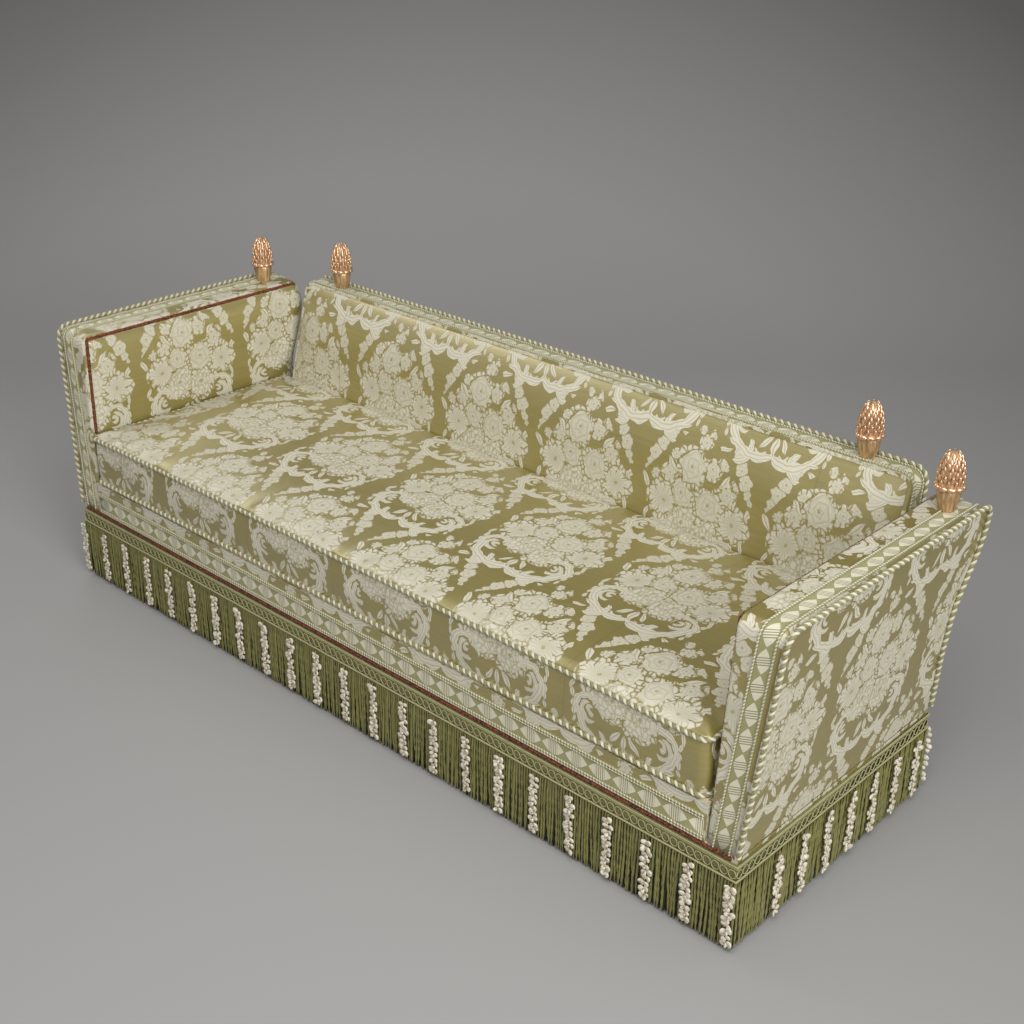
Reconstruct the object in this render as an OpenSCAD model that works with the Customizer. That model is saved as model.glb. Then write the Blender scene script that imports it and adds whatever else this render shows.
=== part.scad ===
// Long knole sofa: a trimmed base with a loose seat cushion, a raked back and two arms that let down.
// Lengths are millimetres. X runs along the sofa, Y from the front to the back and Z up from the floor.

/* [Base] */
// Width across the covered base
base_w = 2390; // [1600:10:2600]
// Depth across the covered base
base_d = 765; // [650:5:900]
// Height of the top of the base, on which the arms stand
base_top = 239; // [210:1:300]
// Height of the underside of the rails, where the feet begin
rail_low = 120; // [80:1:150]
// Thickness of the beech rails
rail_t = 35; // [22:1:45]
// Thickness of the ledges under the arms
ledge_t = 18; // [12:1:26]
// Width of a foot at its top
foot_w = 56; // [40:1:75]
// Width of a foot on the floor
foot_toe = 40; // [25:1:55]
// Thickness of a covered board
cover_t = 6; // [3:0.5:10]

/* [Seat] */
// Rise of the sprung seat above the base
seat_rise = 99; // [70:1:140]
// Thickness of the stuffed platform over the springs
deck_t = 28; // [15:1:45]
// Height of the loose cushion at its piped edge
cushion_h = 145; // [90:1:200]
// Rise of the cushion's crown above its piped edge
cushion_crown = 26; // [5:1:50]
// How far the cushion's sides draw in between its corners
cushion_draw = 5; // [0:0.5:12]
// Radius of the cushion's corners
cushion_corner_r = 18; // [12:1:60]
// Thickness of the flat spring wire
spring_wire = 4; // [2:0.5:6]
// Distance between two seat springs
spring_gap = 118; // [70:1:200]
// Width of a seat spring
spring_w = 48; // [30:1:60]

/* [Arms] */
// Height of an arm above the base
arm_h = 536; // [350:2:700]
// Outward lean of an arm's outer face
arm_lean = 5.7; // [0:0.1:12]
// Thickness of an arm at its foot
arm_foot_t = 80; // [74:1:110]
// Thickness of an arm at its top
arm_top_t = 116; // [90:1:150]
// How far the front edge of an arm is set back at its top
arm_front_set = 20; // [0:1:60]
// Radius of the front corner of an arm
arm_front_r = 30; // [16:1:60]
// Radius of the rear corner of an arm
arm_rear_r = 26; // [16:1:60]
// How far the rear edge is drawn in at its waist
arm_waist = 18; // [0:1:40]
// How far the top of the rear edge sweeps back past the waist
arm_sweep = 54; // [10:1:90]
// Thickness of the stuffing on an arm at its edges
arm_pad_t = 26; // [12:1:30]
// Width of the posts and rails in arms and back
timber_w = 55; // [35:1:80]
// Thickness of the side rails
timber_t = 42; // [30:1:48]
// Crown of the stuffing on an arm
arm_crown = 12; // [3:1:13]

/* [Back] */
// Height of the back above the base
back_h = 548; // [400:2:700]
// Rake of the face that the sitter leans on
back_front_rake = 14.8; // [10:0.1:22]
// Rake of the rear face
back_rear_rake = 8.4; // [4:0.1:12]
// Depth of the back at its top
back_top_t = 56; // [50:1:80]
// Distance from an arm's foot to the end of the back
back_end_gap = 46; // [20:1:90]
// Radius of the upper corners of the back
back_corner_r = 32; // [16:1:60]
// Crown of the stuffing on the back
back_crown = 28; // [8:1:40]

/* [Trimmings] */
// Width of the strip that edges arms and back, seen as a thickness from the side
border_t = 9; // [6:0.5:14]
// Width of the woven galloon
galloon_w = 46; // [25:1:56]
// Thickness of the woven galloon
galloon_t = 2.2; // [1:0.1:4]
// Width of the galloon along the front of the seat
front_galloon_w = 64; // [40:1:80]
// Diameter of the twisted cord
cord_d = 8; // [5:0.5:12]
// Thickness of the red gimp
gimp_t = 5; // [3:0.5:8]
// Width of the red gimp
gimp_w = 13; // [8:0.5:14]
// Height of the looped heading of the fringe
heading_h = 43; // [25:1:60]
// Thickness of the heading and the fringe
heading_t = 8; // [5:0.5:12]
// Height of the fringe's ends above the floor
fringe_lift = 3; // [2:0.5:15]
// Distance between two bullions of the fringe
bullion_w = 16; // [12:0.5:24]
// Diameter of a silk bud
bud_d = 15; // [8:0.5:22]
// Number of buds on one string
buds = 10; // [4:1:14]
// Number of bud strings along the front
front_strings = 23; // [5:2:31]
// Number of bud strings along a side
side_strings = 7; // [3:1:11]

/* [Finials] */
// Height of a carved finial
finial_h = 142; // [90:1:190]
// Diameter of a finial at its collar
finial_d = 70; // [40:1:74]
// Diameter of the finial's dowel
dowel_d = 14; // [8:1:20]
// Length of the finial's dowel
dowel_l = 34; // [20:1:45]
// Number of scales around a finial
scales_round = 8; // [6:1:9]

/* [Hinges] */
// Length of one hinge
hinge_l = 70; // [40:1:100]
// Radius of a hinge's knuckles
knuckle_r = 4; // [3:0.25:4.5]
// Radius of a hinge pin
pin_r = 2; // [1.2:0.1:2.4]
// Thickness of a hinge leaf
leaf_t = 2; // [1.5:0.1:3]
// Width of a hinge leaf
leaf_w = 30; // [20:1:34]
// Radius of the quadrant stays
stay_r = 33; // [28:0.5:36]
// Thickness of a quadrant stay, seen from its side
stay_t = 7; // [4:0.5:9]
// Width of a quadrant stay
stay_w = 5; // [3:0.5:8]
// How far an arm lets down
arm_travel = 60; // [30:1:60]

/* [Hidden] */

damask_colour = "#A9A169";
galloon_colour = "#C9C79F";
cord_colour = "#CFCBA4";
gimp_colour = "#7A3A20";
fringe_colour = "#6B6A3C";
heading_colour = "#A7A25F";
bud_colour = "#E3D8C4";
gilt_colour = "#C79154";
beech_colour = "#C9A46E";
metal_colour = "#B8973F";
steel_colour = "#8C8F92";
cloth_colour = "#B7AC8C";

// Small clearances and the overrun of every cut
cut = 1;
seam = 0.3;
touch = 0.05;
joint_gap = 0.5;
pin_play = 0.1;
swing_play = 0.6;
rest_gap = 1.5;

// Thin goods, the length of one loop of a seat spring and the least radius of a corner drawn in
webbing_t = 3;
dust_t = 1;
spring_loop = 58;
least_r = 3;

// Levels and planes that the pieces share
half_w = base_w / 2;
arm_bottom = base_top + joint_gap;
arm_top = base_top + arm_h;
rail_top = base_top - joint_gap;
deck_top = base_top + seat_rise;
deck_low = deck_top - deck_t;
board_y = cover_t;
frame_back = base_d - cover_t;
seat_half_w = half_w - arm_foot_t - 2 * joint_gap - cover_t;
heading_top = base_top - gimp_w - 2 * joint_gap;
heading_low = heading_top - heading_h;
back_top = base_top + back_h;
back_half_w = half_w - arm_foot_t - back_end_gap;
panel_t = cover_t + 2 * joint_gap;

// Arm faces are straight lines in X and Z, given by their x at the base and at the arm's top
arm_rise = arm_h * tan(arm_lean);
outer_line = [half_w + joint_gap, half_w + joint_gap + arm_rise];
inner_line = [half_w - arm_foot_t, half_w + arm_rise - arm_top_t];
function inward(line, u) = [line[0] - u, line[1] - u];
function x_on(line, z) = line[0] + (line[1] - line[0]) * (z - base_top) / arm_h;
timber_out = inward(outer_line, panel_t);
pad_back = inward(inner_line, -arm_pad_t);
timber_in = inward(pad_back, -webbing_t);

// Back faces are straight lines in Y and Z
function back_rear_y(z) = base_d + (z - base_top) * tan(back_rear_rake);
back_front_top = back_rear_y(back_top) - back_top_t;
function back_front_y(z) = back_front_top - (back_top - z) * tan(back_front_rake);

// Hinge axis, just inside the foot of an arm's outer face
nose_r = knuckle_r + 2 * joint_gap + leaf_t / 2;
hinge_x = outer_line[0] - nose_r;
hinge_z = base_top + joint_gap / 2;
cove_r = nose_r + 2 * swing_play;

// The finials stand in the middle of what carries them
arm_finial_y_share = 0.935;
arm_finial_x = x_on(outer_line, arm_top) - arm_top_t / 2;
arm_finial_y = base_d * arm_finial_y_share;
back_finial_x_share = 0.87;
back_finial_x = back_half_w * back_finial_x_share;
back_finial_y = back_rear_y(back_top) - back_top_t / 2;

// Middle of the whole sofa from front to back, bud strings and rear finials included
string_y = heading_t + seam + bud_d / 2;
y_mid = (back_finial_y + finial_d / 2 - string_y - bud_d / 2) / 2;

function smooth(s) = let (c = min(max(s, 0), 1)) c * c * (3 - 2 * c);
function mix(a, b, s) = a + (b - a) * s;
function flat(rows) = [for (row = rows) each row];

module at_middle() {
    translate([0, -y_mid, 0]) children();
}

module both_sides() {
    children();
    mirror([1, 0, 0]) children();
}

module block(low, high) {
    translate(low) cube(high - low);
}

// Outline in Y and Z, drawn out along X
module x_slab(outline, x0, x1) {
    translate([x0, 0, 0]) rotate([90, 0, 90]) linear_extrude(x1 - x0) polygon(outline);
}

// Outline in X and Z, drawn out along Y
module y_slab(outline, y0, y1) {
    translate([0, y1, 0]) rotate([90, 0, 0]) linear_extrude(y1 - y0) polygon(outline);
}

// Round bar along Y
module y_bar(x, z, r, y0, y1) {
    translate([x, y1, z]) rotate([90, 0, 0]) cylinder(h = y1 - y0, r = r, $fn = 32);
}

function arc(centre, r, a0, a1, n) =
    [for (i = [0:n]) let (a = mix(a0, a1, i / n)) [centre[0] + r * cos(a), centre[1] + r * sin(a)]];

// Points around the rim of a grid of points, as [row, column]
function rim(rows, cols) = concat(
    [for (i = [0:cols - 1]) [0, i]],
    [for (j = [1:rows - 1]) [j, cols - 1]],
    [for (i = [cols - 2:-1:0]) [rows - 1, i]],
    [for (j = [rows - 2:-1:1]) [j, 0]]);

// Stuffed solid between a swelling face and the flat board behind its rim
module stuffed(face, board) {
    rows = len(face);
    cols = len(face[0]);
    edge = rim(rows, cols);
    n = len(edge);
    count = rows * cols;
    points = concat(flat(face), [for (e = edge) board[e[0]][e[1]]]);
    quads = [for (j = [0:rows - 2], i = [0:cols - 2])
        let (a = j * cols + i, b = a + 1, c = b + cols, d = a + cols) [a, b, c, d]];
    sides = [for (k = [0:n - 1])
        let (e = edge[k], g = edge[(k + 1) % n])
        [g[0] * cols + g[1], e[0] * cols + e[1], count + k, count + (k + 1) % n]];
    shell = concat(quads, sides);
    polyhedron(points, concat(
        [for (q = shell) [q[0], q[1], q[2]]],
        [for (q = shell) [q[0], q[2], q[3]]],
        [[for (k = [n - 1:-1:0]) count + k]]));
}

// Solid through a stack of loops that all have the same number of points
module lofted(loops) {
    n = len(loops[0]);
    m = len(loops);
    quads = [for (j = [0:m - 2], i = [0:n - 1])
        let (k = (i + 1) % n) [j * n + i, (j + 1) * n + i, (j + 1) * n + k, j * n + k]];
    polyhedron(flat(loops), concat(
        [for (q = quads) [q[0], q[1], q[2]]],
        [for (q = quads) [q[0], q[2], q[3]]],
        [[for (i = [0:n - 1]) i]],
        [[for (i = [n - 1:-1:0]) (m - 1) * n + i]]));
}

function unit(v) = v / norm(v);

// Cord of six faces along a path, turned square to the path; up is never along it
module corded(path, d, up) {
    n = len(path);
    sides = 6;
    lofted([for (i = [0:n - 1])
        let (
            ahead = unit(path[min(i + 1, n - 1)] - path[max(i - 1, 0)]),
            across = unit(cross(up, ahead)),
            over = cross(ahead, across))
        [for (k = [0:sides - 1])
            let (a = 360 * k / sides) path[i] + d / 2 * (across * cos(a) + over * sin(a))]]);
}

// Outline of an arm, seen from its side, drawn in by an inset
function arm_front_y(z) = arm_front_set * (z - base_top) / arm_h;
function rear_sweep(z) =
    let (t = (z - base_top) / arm_h, heel_share = 0.35, sweep_low_share = 0.48, sweep_share = 0.4)
    base_d - arm_waist * smooth(t / heel_share) + arm_sweep * smooth((t - sweep_low_share) / sweep_share);

// The rear edge runs straight between evenly spaced heights, so that all of an arm's pieces share it
arm_steps = 14;
arm_step = (arm_top - arm_rear_r - arm_bottom) / arm_steps;
function arm_level(i) = arm_bottom + arm_step * i;
function arm_rear_y(z) =
    let (i = min(max(floor((z - arm_bottom) / arm_step), 0), arm_steps - 1))
    mix(rear_sweep(arm_level(i)), rear_sweep(arm_level(i + 1)), (z - arm_level(i)) / arm_step);
function arm_front_arc(inset) =
    let (r = max(arm_front_r - inset, least_r), z = arm_top - inset - r)
    arc([arm_front_y(z) + inset + r, z], r, 180, 90, 6);
function arm_rear_arc(inset) =
    let (r = max(arm_rear_r - inset, least_r), z = arm_top - inset - r)
    arc([arm_rear_y(arm_level(arm_steps)) - inset - r, z], r, 90, 0, 6);
function arm_edge(inset) = concat(
    [[arm_front_y(arm_bottom) + inset, arm_bottom]],
    arm_front_arc(inset),
    arm_rear_arc(inset),
    [for (i = [arm_steps - 1:-1:0]) [arm_rear_y(arm_level(i)) - inset, arm_level(i)]]);

// Front and rear edge of the arm's outline at one height, corners included
function arm_low_y(z, inset) =
    let (zc = arm_top - arm_front_r, r = arm_front_r - inset, h = min(max(z - zc, 0), r))
    z > zc ? arm_front_y(zc) + arm_front_r - sqrt(r * r - h * h) : arm_front_y(z) + inset;
function arm_high_y(z, inset) =
    let (zc = arm_top - arm_rear_r, r = arm_rear_r - inset, h = min(max(z - zc, 0), r))
    z > zc ? arm_rear_y(zc) - arm_rear_r + sqrt(r * r - h * h) : arm_rear_y(z) - inset;

// Side outline of an arm's piece, kept between two of the arm's face lines
module arm_slice(outline, line_a, line_b) {
    z0 = base_top - cut;
    z1 = arm_top + heading_h;
    intersection() {
        x_slab(outline, half_w - 2 * arm_top_t, half_w + arm_rise + arm_top_t);
        y_slab([[x_on(line_a, z0), z0], [x_on(line_a, z1), z1], [x_on(line_b, z1), z1],
            [x_on(line_b, z0), z0]],
            -base_d, 2 * base_d);
    }
}

module arm_layer(line_a, line_b, inset) {
    arm_slice(arm_edge(inset), line_a, line_b);
}

// The outer hinges stand beside the posts, and the stays halfway between two hinges
hinge_first = border_t + timber_w + 2 * joint_gap + hinge_l / 2;
hinge_ys = [hinge_first, base_d / 2, base_d - hinge_first];
stay_ys = [(hinge_ys[0] + hinge_ys[1]) / 2, (hinge_ys[1] + hinge_ys[2]) / 2];

module hinge_reliefs(extra) {
    for (y = hinge_ys)
        y_bar(hinge_x, hinge_z, knuckle_r + extra, y - hinge_l / 2 - swing_play,
            y + hinge_l / 2 + swing_play);
}

// Sector of a ring around the hinge axis, from one angle to another, measured from the outer side
module ring_sector(r, thick, wide, a0, a1) {
    rotate([90, 0, 0]) rotate([0, 0, a0]) rotate_extrude(angle = a1 - a0, $fn = 96)
        translate([r - thick / 2, -wide / 2]) square([thick, wide]);
}

stay_hold = 14;
stay_angle = arm_travel + 2 * stay_hold;
module stay_slots() {
    for (y = stay_ys)
        translate([hinge_x, y, hinge_z])
            ring_sector(stay_r, stay_t + 2 * swing_play, stay_w + 2 * swing_play, 180,
                180 + stay_angle + stay_hold / 2);
}

// Arm: the outer board ends in a round nose on the hinge axis, like the rule joint of a drop leaf
module arm_outer_panel() {
    difference() {
        union() {
            arm_layer(outer_line, timber_out, 0);
            difference() {
                y_bar(hinge_x, hinge_z, nose_r, 0, base_d);
                block([hinge_x - 2 * nose_r, -cut, hinge_z - nose_r],
                    [timber_out[0], base_d + cut, arm_bottom]);
                block([hinge_x - 2 * nose_r, -cut, arm_bottom],
                    [hinge_x + 2 * nose_r, base_d + cut, arm_top]);
                for (y = hinge_ys)
                    block([hinge_x - 2 * nose_r, y - hinge_l / 2 - swing_play, base_top - 2 * nose_r],
                        [hinge_x + 2 * nose_r, y + hinge_l / 2 + swing_play, arm_bottom + cut]);
            }
        }
        hinge_reliefs(swing_play);
    }
}

rail_z = arm_top - border_t - timber_w;
function front_post_y(z, u) = arm_front_y(z) + border_t + u;
function rear_post_y(z, u) = arm_rear_y(z) - border_t - u;
function rear_post_edge(u, z0, z1) = concat(
    [[rear_post_y(z0, u), z0]],
    [for (i = [1:arm_steps]) let (z = arm_level(i)) if (z > z0 && z < z1) [rear_post_y(z, u), z]],
    [[rear_post_y(z1, u), z1]]);
function reversed(list) = [for (i = [len(list) - 1:-1:0]) list[i]];

// The rear post is sawn to the sweep of the arm's rear edge
module arm_posts() {
    difference() {
        union() {
            arm_slice([[front_post_y(arm_bottom, 0), arm_bottom],
                [front_post_y(arm_bottom, timber_w), arm_bottom],
                [front_post_y(rail_z, timber_w), rail_z], [front_post_y(rail_z, 0), rail_z]], timber_out,
                    timber_in);
            arm_slice(concat(rear_post_edge(touch, arm_bottom, rail_z),
                reversed(rear_post_edge(timber_w, arm_bottom, rail_z))), timber_out, timber_in);
        }
        hinge_reliefs(swing_play);
    }
}

module arm_rails() {
    difference() {
        arm_slice(concat([[front_post_y(rail_z, 0), rail_z + touch]], arm_front_arc(border_t + touch),
            arm_rear_arc(border_t + touch), reversed(rear_post_edge(touch, rail_z + touch,
                arm_level(arm_steps)))),
            timber_out, timber_in);
        translate([arm_finial_x, arm_finial_y, arm_top - dowel_l - seam])
            cylinder(h = dowel_l + cut, r = dowel_d / 2 + pin_play, $fn = 32);
    }
    top = arm_bottom + timber_w;
    difference() {
        arm_slice(concat([[front_post_y(arm_bottom, timber_w + touch), arm_bottom]],
            rear_post_edge(timber_w + touch, arm_bottom, top),
            [[front_post_y(top, timber_w + touch), top]]), timber_out, timber_in);
        hinge_reliefs(swing_play);
        for (y = hinge_ys)
            block([hinge_x - leaf_w - seam, y - hinge_l / 2 - seam, base_top],
                [hinge_x, y + hinge_l / 2 + seam, arm_bottom + leaf_t]);
        for (y = stay_ys)
            block([hinge_x - stay_r - stay_t / 2, y - stay_w / 2, base_top],
                [hinge_x - stay_r + stay_t / 2, y + stay_w / 2, arm_bottom + stay_hold]);
    }
}

module arm_webbing() {
    arm_layer(timber_in, pad_back, border_t);
}

// Swell of the stuffing on an arm: flat behind the cushion, then rising to a roll under the top.
// The higher the power, the later the swell falls off towards the ends
arm_end_power = 5;
function arm_swell(y, z) =
    let (
        low = deck_top + cushion_h,
        roll = 3 * arm_front_r,
        s = (y - arm_low_y(z, border_t)) / (arm_high_y(z, border_t) - arm_low_y(z, border_t)),
        up = smooth((z - low) / (arm_top - low - roll / 2)),
        near_top = (arm_top - border_t - z) / roll)
    arm_crown * up * sqrt(min(1, max(0, near_top))) * (1 - pow(abs(2 * s - 1), arm_end_power));

module arm_pad() {
    cols = 12;
    corner_rows = 6;
    inset = border_t + 2 * seam;
    top = arm_top - inset;
    shoulder = arm_level(arm_steps);
    levels = concat([for (i = [0:arm_steps]) arm_level(i)],
        [for (k = [1:corner_rows]) mix(shoulder, top, sin(90 * k / corner_rows))]);
    face = [for (z = levels)
        [for (i = [0:cols]) let (y = mix(arm_low_y(z, inset), arm_high_y(z, inset), i / cols))
            [x_on(inner_line, z) - arm_swell(y, z), y, z]]];
    board = [for (row = face) [for (p = row) [x_on(pad_back, p[2]) - touch, p[1], p[2]]]];
    stuffed(face, board);
}

// Strip that wraps the front, top and rear edges of an arm, between its outer board and its gimp
module arm_border() {
    difference() {
        arm_layer(timber_out, inner_line, 0);
        arm_layer(inward(timber_out, -cut), inward(inner_line, 2 * arm_top_t), border_t);
        translate([arm_finial_x, arm_finial_y, arm_top - border_t - cut])
            cylinder(h = border_t + 2 * cut, r = dowel_d / 2 + pin_play, $fn = 32);
        hinge_reliefs(swing_play);
    }
}

galloon_inset = 17;
module arm_galloon() {
    difference() {
        arm_layer(inward(outer_line, galloon_inset), inward(outer_line, galloon_inset + galloon_w),
            -galloon_t);
        arm_layer(inward(outer_line, 0), inward(outer_line, 2 * arm_top_t), 0);
        block([0, 2 * arm_top_t, 0], [2 * half_w, 2 * base_d, arm_top - 2 * arm_rear_r]);
        translate([arm_finial_x, arm_finial_y, arm_top - cut])
            cylinder(h = galloon_t + 2 * cut, r = finial_seat_r + seam, $fn = 48);
    }
}

// Twisted cord along the outer edge of an arm, up the front, over the top and down the rear
module arm_cord() {
    r = cord_d / 2;
    stand = r * sin(45) + seam / 2;
    edge = [for (p = arm_edge(-stand)) [p[0], max(p[1], arm_bottom + r)]];
    corded([for (p = edge) [x_on(outer_line, p[1]) + stand, p[0], p[1]]], cord_d, [1, 0, 0]);
}

// Red gimp that covers the seam between the strip and the stuffing, above the seat
module arm_gimp() {
    low = deck_top;
    difference() {
        arm_layer(inner_line, inward(inner_line, gimp_t), seam);
        arm_layer(inward(inner_line, -cut), inward(inner_line, 2 * gimp_t), border_t - seam);
        block([0, -base_d, 0], [2 * half_w, 2 * base_d, low]);
        block([0, base_d / 2, 0], [2 * half_w, 2 * base_d, arm_top - 2 * arm_rear_r]);
    }
}

// Carved finial: a fluted cup, a collar of leaves and a cone of overlapping scales, on a dowel
// Each list starts with the cup, then has the collar and then the cone up to its tip
finial_height_shares = concat([0, 0.04, 0.2, 0.34, 0.36], [0.41, 0.46, 0.51, 0.54],
    [0.59, 0.64, 0.69, 0.74, 0.79, 0.84, 0.89, 0.94, 0.98, 1]);
finial_radius_shares = concat([0.27, 0.3, 0.36, 0.4, 0.37], [0.46, 0.49, 0.46, 0.41],
    [0.425, 0.405, 0.405, 0.375, 0.36, 0.31, 0.28, 0.2, 0.11, 0.03]);
finial_carve_shares = concat([0.008, 0.012, 0.012, 0.012, 0], [0.01, 0.01, 0.01, 0],
    [0.022, -0.02, 0.022, -0.02, 0.02, -0.018, 0.016, -0.012, 0.006, 0]);
finial_seat_r = finial_d * (finial_radius_shares[1] + finial_carve_shares[1]);

module finial_at(x, y, z) {
    sectors = 3 * scales_round;
    translate([x, y, z]) {
        lofted([for (j = [0:len(finial_height_shares) - 1])
            [for (k = [0:sectors - 1])
                let (
                    a = 360 * k / sectors,
                    r = finial_d * (finial_radius_shares[j] + finial_carve_shares[j] * cos(scales_round * a)))
                [r * cos(a), r * sin(a), finial_h * finial_height_shares[j]]]]);
        translate([0, 0, -dowel_l]) cylinder(h = dowel_l, r = dowel_d / 2, $fn = 32);
    }
}

// One leaf of a hinge with its own knuckles; the other leaf's knuckles fit between them
knuckle_shares = [[0, 0.3], [0.3, 0.7], [0.7, 1]];
module hinge_leaf(y, z0, own) {
    y0 = y - hinge_l / 2;
    difference() {
        union() {
            block([hinge_x - leaf_w, y0, z0], [hinge_x - knuckle_r - swing_play, y0 + hinge_l,
                z0 + leaf_t]);
            for (s = own) {
                a = y0 + hinge_l * s[0] + joint_gap / 2;
                b = y0 + hinge_l * s[1] - joint_gap / 2;
                y_bar(hinge_x, hinge_z, knuckle_r, a, b);
                block([hinge_x - knuckle_r - 2 * swing_play, a, z0],
                    [hinge_x - knuckle_r / 2, b, z0 + leaf_t]);
            }
        }
        y_bar(hinge_x, hinge_z, pin_r + pin_play, y0 - cut, y0 + hinge_l + cut);
    }
}

module arm_hinge_leaves() {
    for (y = hinge_ys) hinge_leaf(y, arm_bottom, [knuckle_shares[1]]);
}

// Quadrant stays: arcs about the hinge axis that slide down through the ledge and end in a stop
module arm_stays() {
    for (y = stay_ys)
        translate([hinge_x, y, hinge_z]) {
            ring_sector(stay_r, stay_t, stay_w, 180, 180 + stay_angle);
            block([-stay_r - stay_t / 2, -stay_w / 2, 0], [-stay_r + stay_t / 2, stay_w / 2, stay_hold]);
        }
}

// Coves in the base that the round noses of the arms turn in
module coves() {
    both_sides() y_bar(hinge_x, hinge_z, cove_r, -cut, base_d + cut);
}

// Base: beech rails, glued blocks and six tapered feet that the fringe hides
module front_rail() {
    difference() {
        y_slab([[-half_w + cover_t, rail_low], [half_w - cover_t, rail_low], [half_w - cover_t, rail_top],
            [seat_half_w, rail_top], [seat_half_w, deck_low], [-seat_half_w, deck_low],
                [-seat_half_w, rail_top],
            [-half_w + cover_t, rail_top]], board_y, board_y + rail_t);
        coves();
    }
}

module back_rail() {
    difference() {
        block([-half_w + cover_t, frame_back - rail_t, rail_low], [half_w - cover_t, frame_back, rail_top]);
        coves();
    }
}

side_rail_y = [board_y + rail_t, frame_back - rail_t];
module side_rails() {
    both_sides() difference() {
        block([half_w - cover_t - timber_t, side_rail_y[0], rail_low],
            [half_w - cover_t, side_rail_y[1], rail_top - ledge_t]);
        stay_slots();
    }
}

cross_shares = [-0.5, 0, 0.5];
module cross_rails() {
    for (s = cross_shares)
        block([half_w * s - rail_t / 2, side_rail_y[0], rail_low],
            [half_w * s + rail_t / 2, side_rail_y[1], rail_top]);
}

// Triangular blocks glued into the four corners of the rails
block_leg = 2 * rail_t;
module corner_blocks() {
    x = half_w - cover_t - timber_t;
    both_sides()
        translate([0, 0, rail_low]) linear_extrude(rail_top - ledge_t - rail_low) {
            polygon([[x, side_rail_y[0]], [x - block_leg, side_rail_y[0]],
                [x, side_rail_y[0] + block_leg]]);
            polygon([[x, side_rail_y[1]], [x - block_leg, side_rail_y[1]],
                [x, side_rail_y[1] - block_leg]]);
        }
}

module foot(x, y) {
    top = [[-foot_w / 2, rail_low], [foot_w / 2, rail_low], [foot_toe / 2, 0], [-foot_toe / 2, 0]];
    translate([x, y, 0]) intersection() {
        y_slab(top, -foot_w, foot_w);
        x_slab(top, -foot_w, foot_w);
    }
}

module feet() {
    inset = cover_t + foot_w / 2;
    for (x = [-half_w + inset, 0, half_w - inset], y = [inset, base_d - inset]) foot(x, y);
}

// Ledges that the arms stand on, coved along the hinge axis and slotted for the stays
ledge_in = seat_half_w - timber_t;
module arm_ledges() {
    both_sides() difference() {
        block([ledge_in, side_rail_y[0], rail_top - ledge_t], [half_w - cover_t, side_rail_y[1], rail_top]);
        y_bar(hinge_x, hinge_z, cove_r, -cut, base_d + cut);
        stay_slots();
        for (y = hinge_ys)
            block([hinge_x - leaf_w - seam, y - hinge_l / 2 - seam, rail_top - leaf_t],
                [hinge_x, y + hinge_l / 2 + seam, rail_top + cut]);
    }
}

module base_hinge_leaves() {
    both_sides() for (y = hinge_ys)
        hinge_leaf(y, rail_top - leaf_t, [knuckle_shares[0], knuckle_shares[2]]);
}

module hinge_pins() {
    both_sides() for (y = hinge_ys)
        y_bar(hinge_x, hinge_z, pin_r, y - hinge_l / 2, y + hinge_l / 2);
}

// Seat: upper rails, serpentine springs, stuffed platform and the dust cover below
spring_rail_y = back_front_y(deck_top) - rail_t;
module seat_rails() {
    both_sides() {
        block([ledge_in, side_rail_y[0], rail_top], [seat_half_w, spring_rail_y, deck_low]);
        block([back_half_w + joint_gap, spring_rail_y + rail_t, rail_top],
            [seat_half_w, frame_back, deck_low]);
    }
    block([-seat_half_w, spring_rail_y, rail_top], [seat_half_w, spring_rail_y + rail_t, deck_low]);
}

module spring(x) {
    y0 = side_rail_y[0] + joint_gap + spring_wire / 2;
    y1 = spring_rail_y - joint_gap - spring_wire / 2;
    loops = round((y1 - y0) / spring_loop);
    per_loop = 4;
    n = loops * per_loop;
    mid = [for (i = [0:n]) [x + spring_w / 2 * sin(360 * i / per_loop), mix(y0, y1, i / n)]];
    way = [for (i = [0:n]) unit(mid[min(i + 1, n)] - mid[max(i - 1, 0)])];
    left = [for (i = [0:n]) mid[i] + spring_wire / 2 * [-way[i][1], way[i][0]]];
    right = [for (i = [n:-1:0]) mid[i] - spring_wire / 2 * [-way[i][1], way[i][0]]];
    translate([0, 0, deck_low - spring_wire - seam]) linear_extrude(spring_wire) polygon(concat(left,
        right));
}

module seat_springs() {
    room = 2 * (ledge_in - spring_w);
    count = max(1, floor(room / spring_gap));
    for (i = [0:count]) spring(mix(-room / 2, room / 2, i / count));
}

module seat_deck() {
    block([-seat_half_w, board_y, deck_low], [seat_half_w, back_front_y(deck_top), deck_top - seam]);
}

module dust_cover() {
    x = half_w - cover_t - timber_t;
    block([-x, side_rail_y[0] + foot_w / 2, rail_low - dust_t], [x, side_rail_y[1] - foot_w / 2, rail_low]);
}

// Covers: a raised strip below the cushion, and low strips around the other sides
module front_border() {
    block([-seat_half_w - cover_t, 0, heading_low], [seat_half_w + cover_t, board_y, deck_top - cover_t]);
}

module base_covers() {
    difference() {
        union() {
            both_sides() {
                block([seat_half_w + cover_t, 0, heading_low], [half_w, board_y, rail_top]);
                block([half_w - cover_t, board_y, heading_low], [half_w, base_d, rail_top]);
                block([seat_half_w, board_y, rail_top], [seat_half_w + cover_t, base_d,
                    deck_top - cover_t]);
                block([back_half_w + joint_gap, frame_back, rail_top],
                    [seat_half_w, base_d, deck_top - cover_t]);
                block([back_half_w + joint_gap, back_front_y(deck_top), deck_low],
                    [seat_half_w, frame_back, deck_top - cover_t]);
            }
            block([-half_w + cover_t, frame_back, heading_low], [half_w - cover_t, base_d, rail_top]);
        }
        coves();
    }
}

module front_galloon() {
    z0 = base_top + joint_gap;
    block([-seat_half_w + joint_gap, -galloon_t, z0], [seat_half_w - joint_gap, 0, z0 + front_galloon_w]);
}

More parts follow.
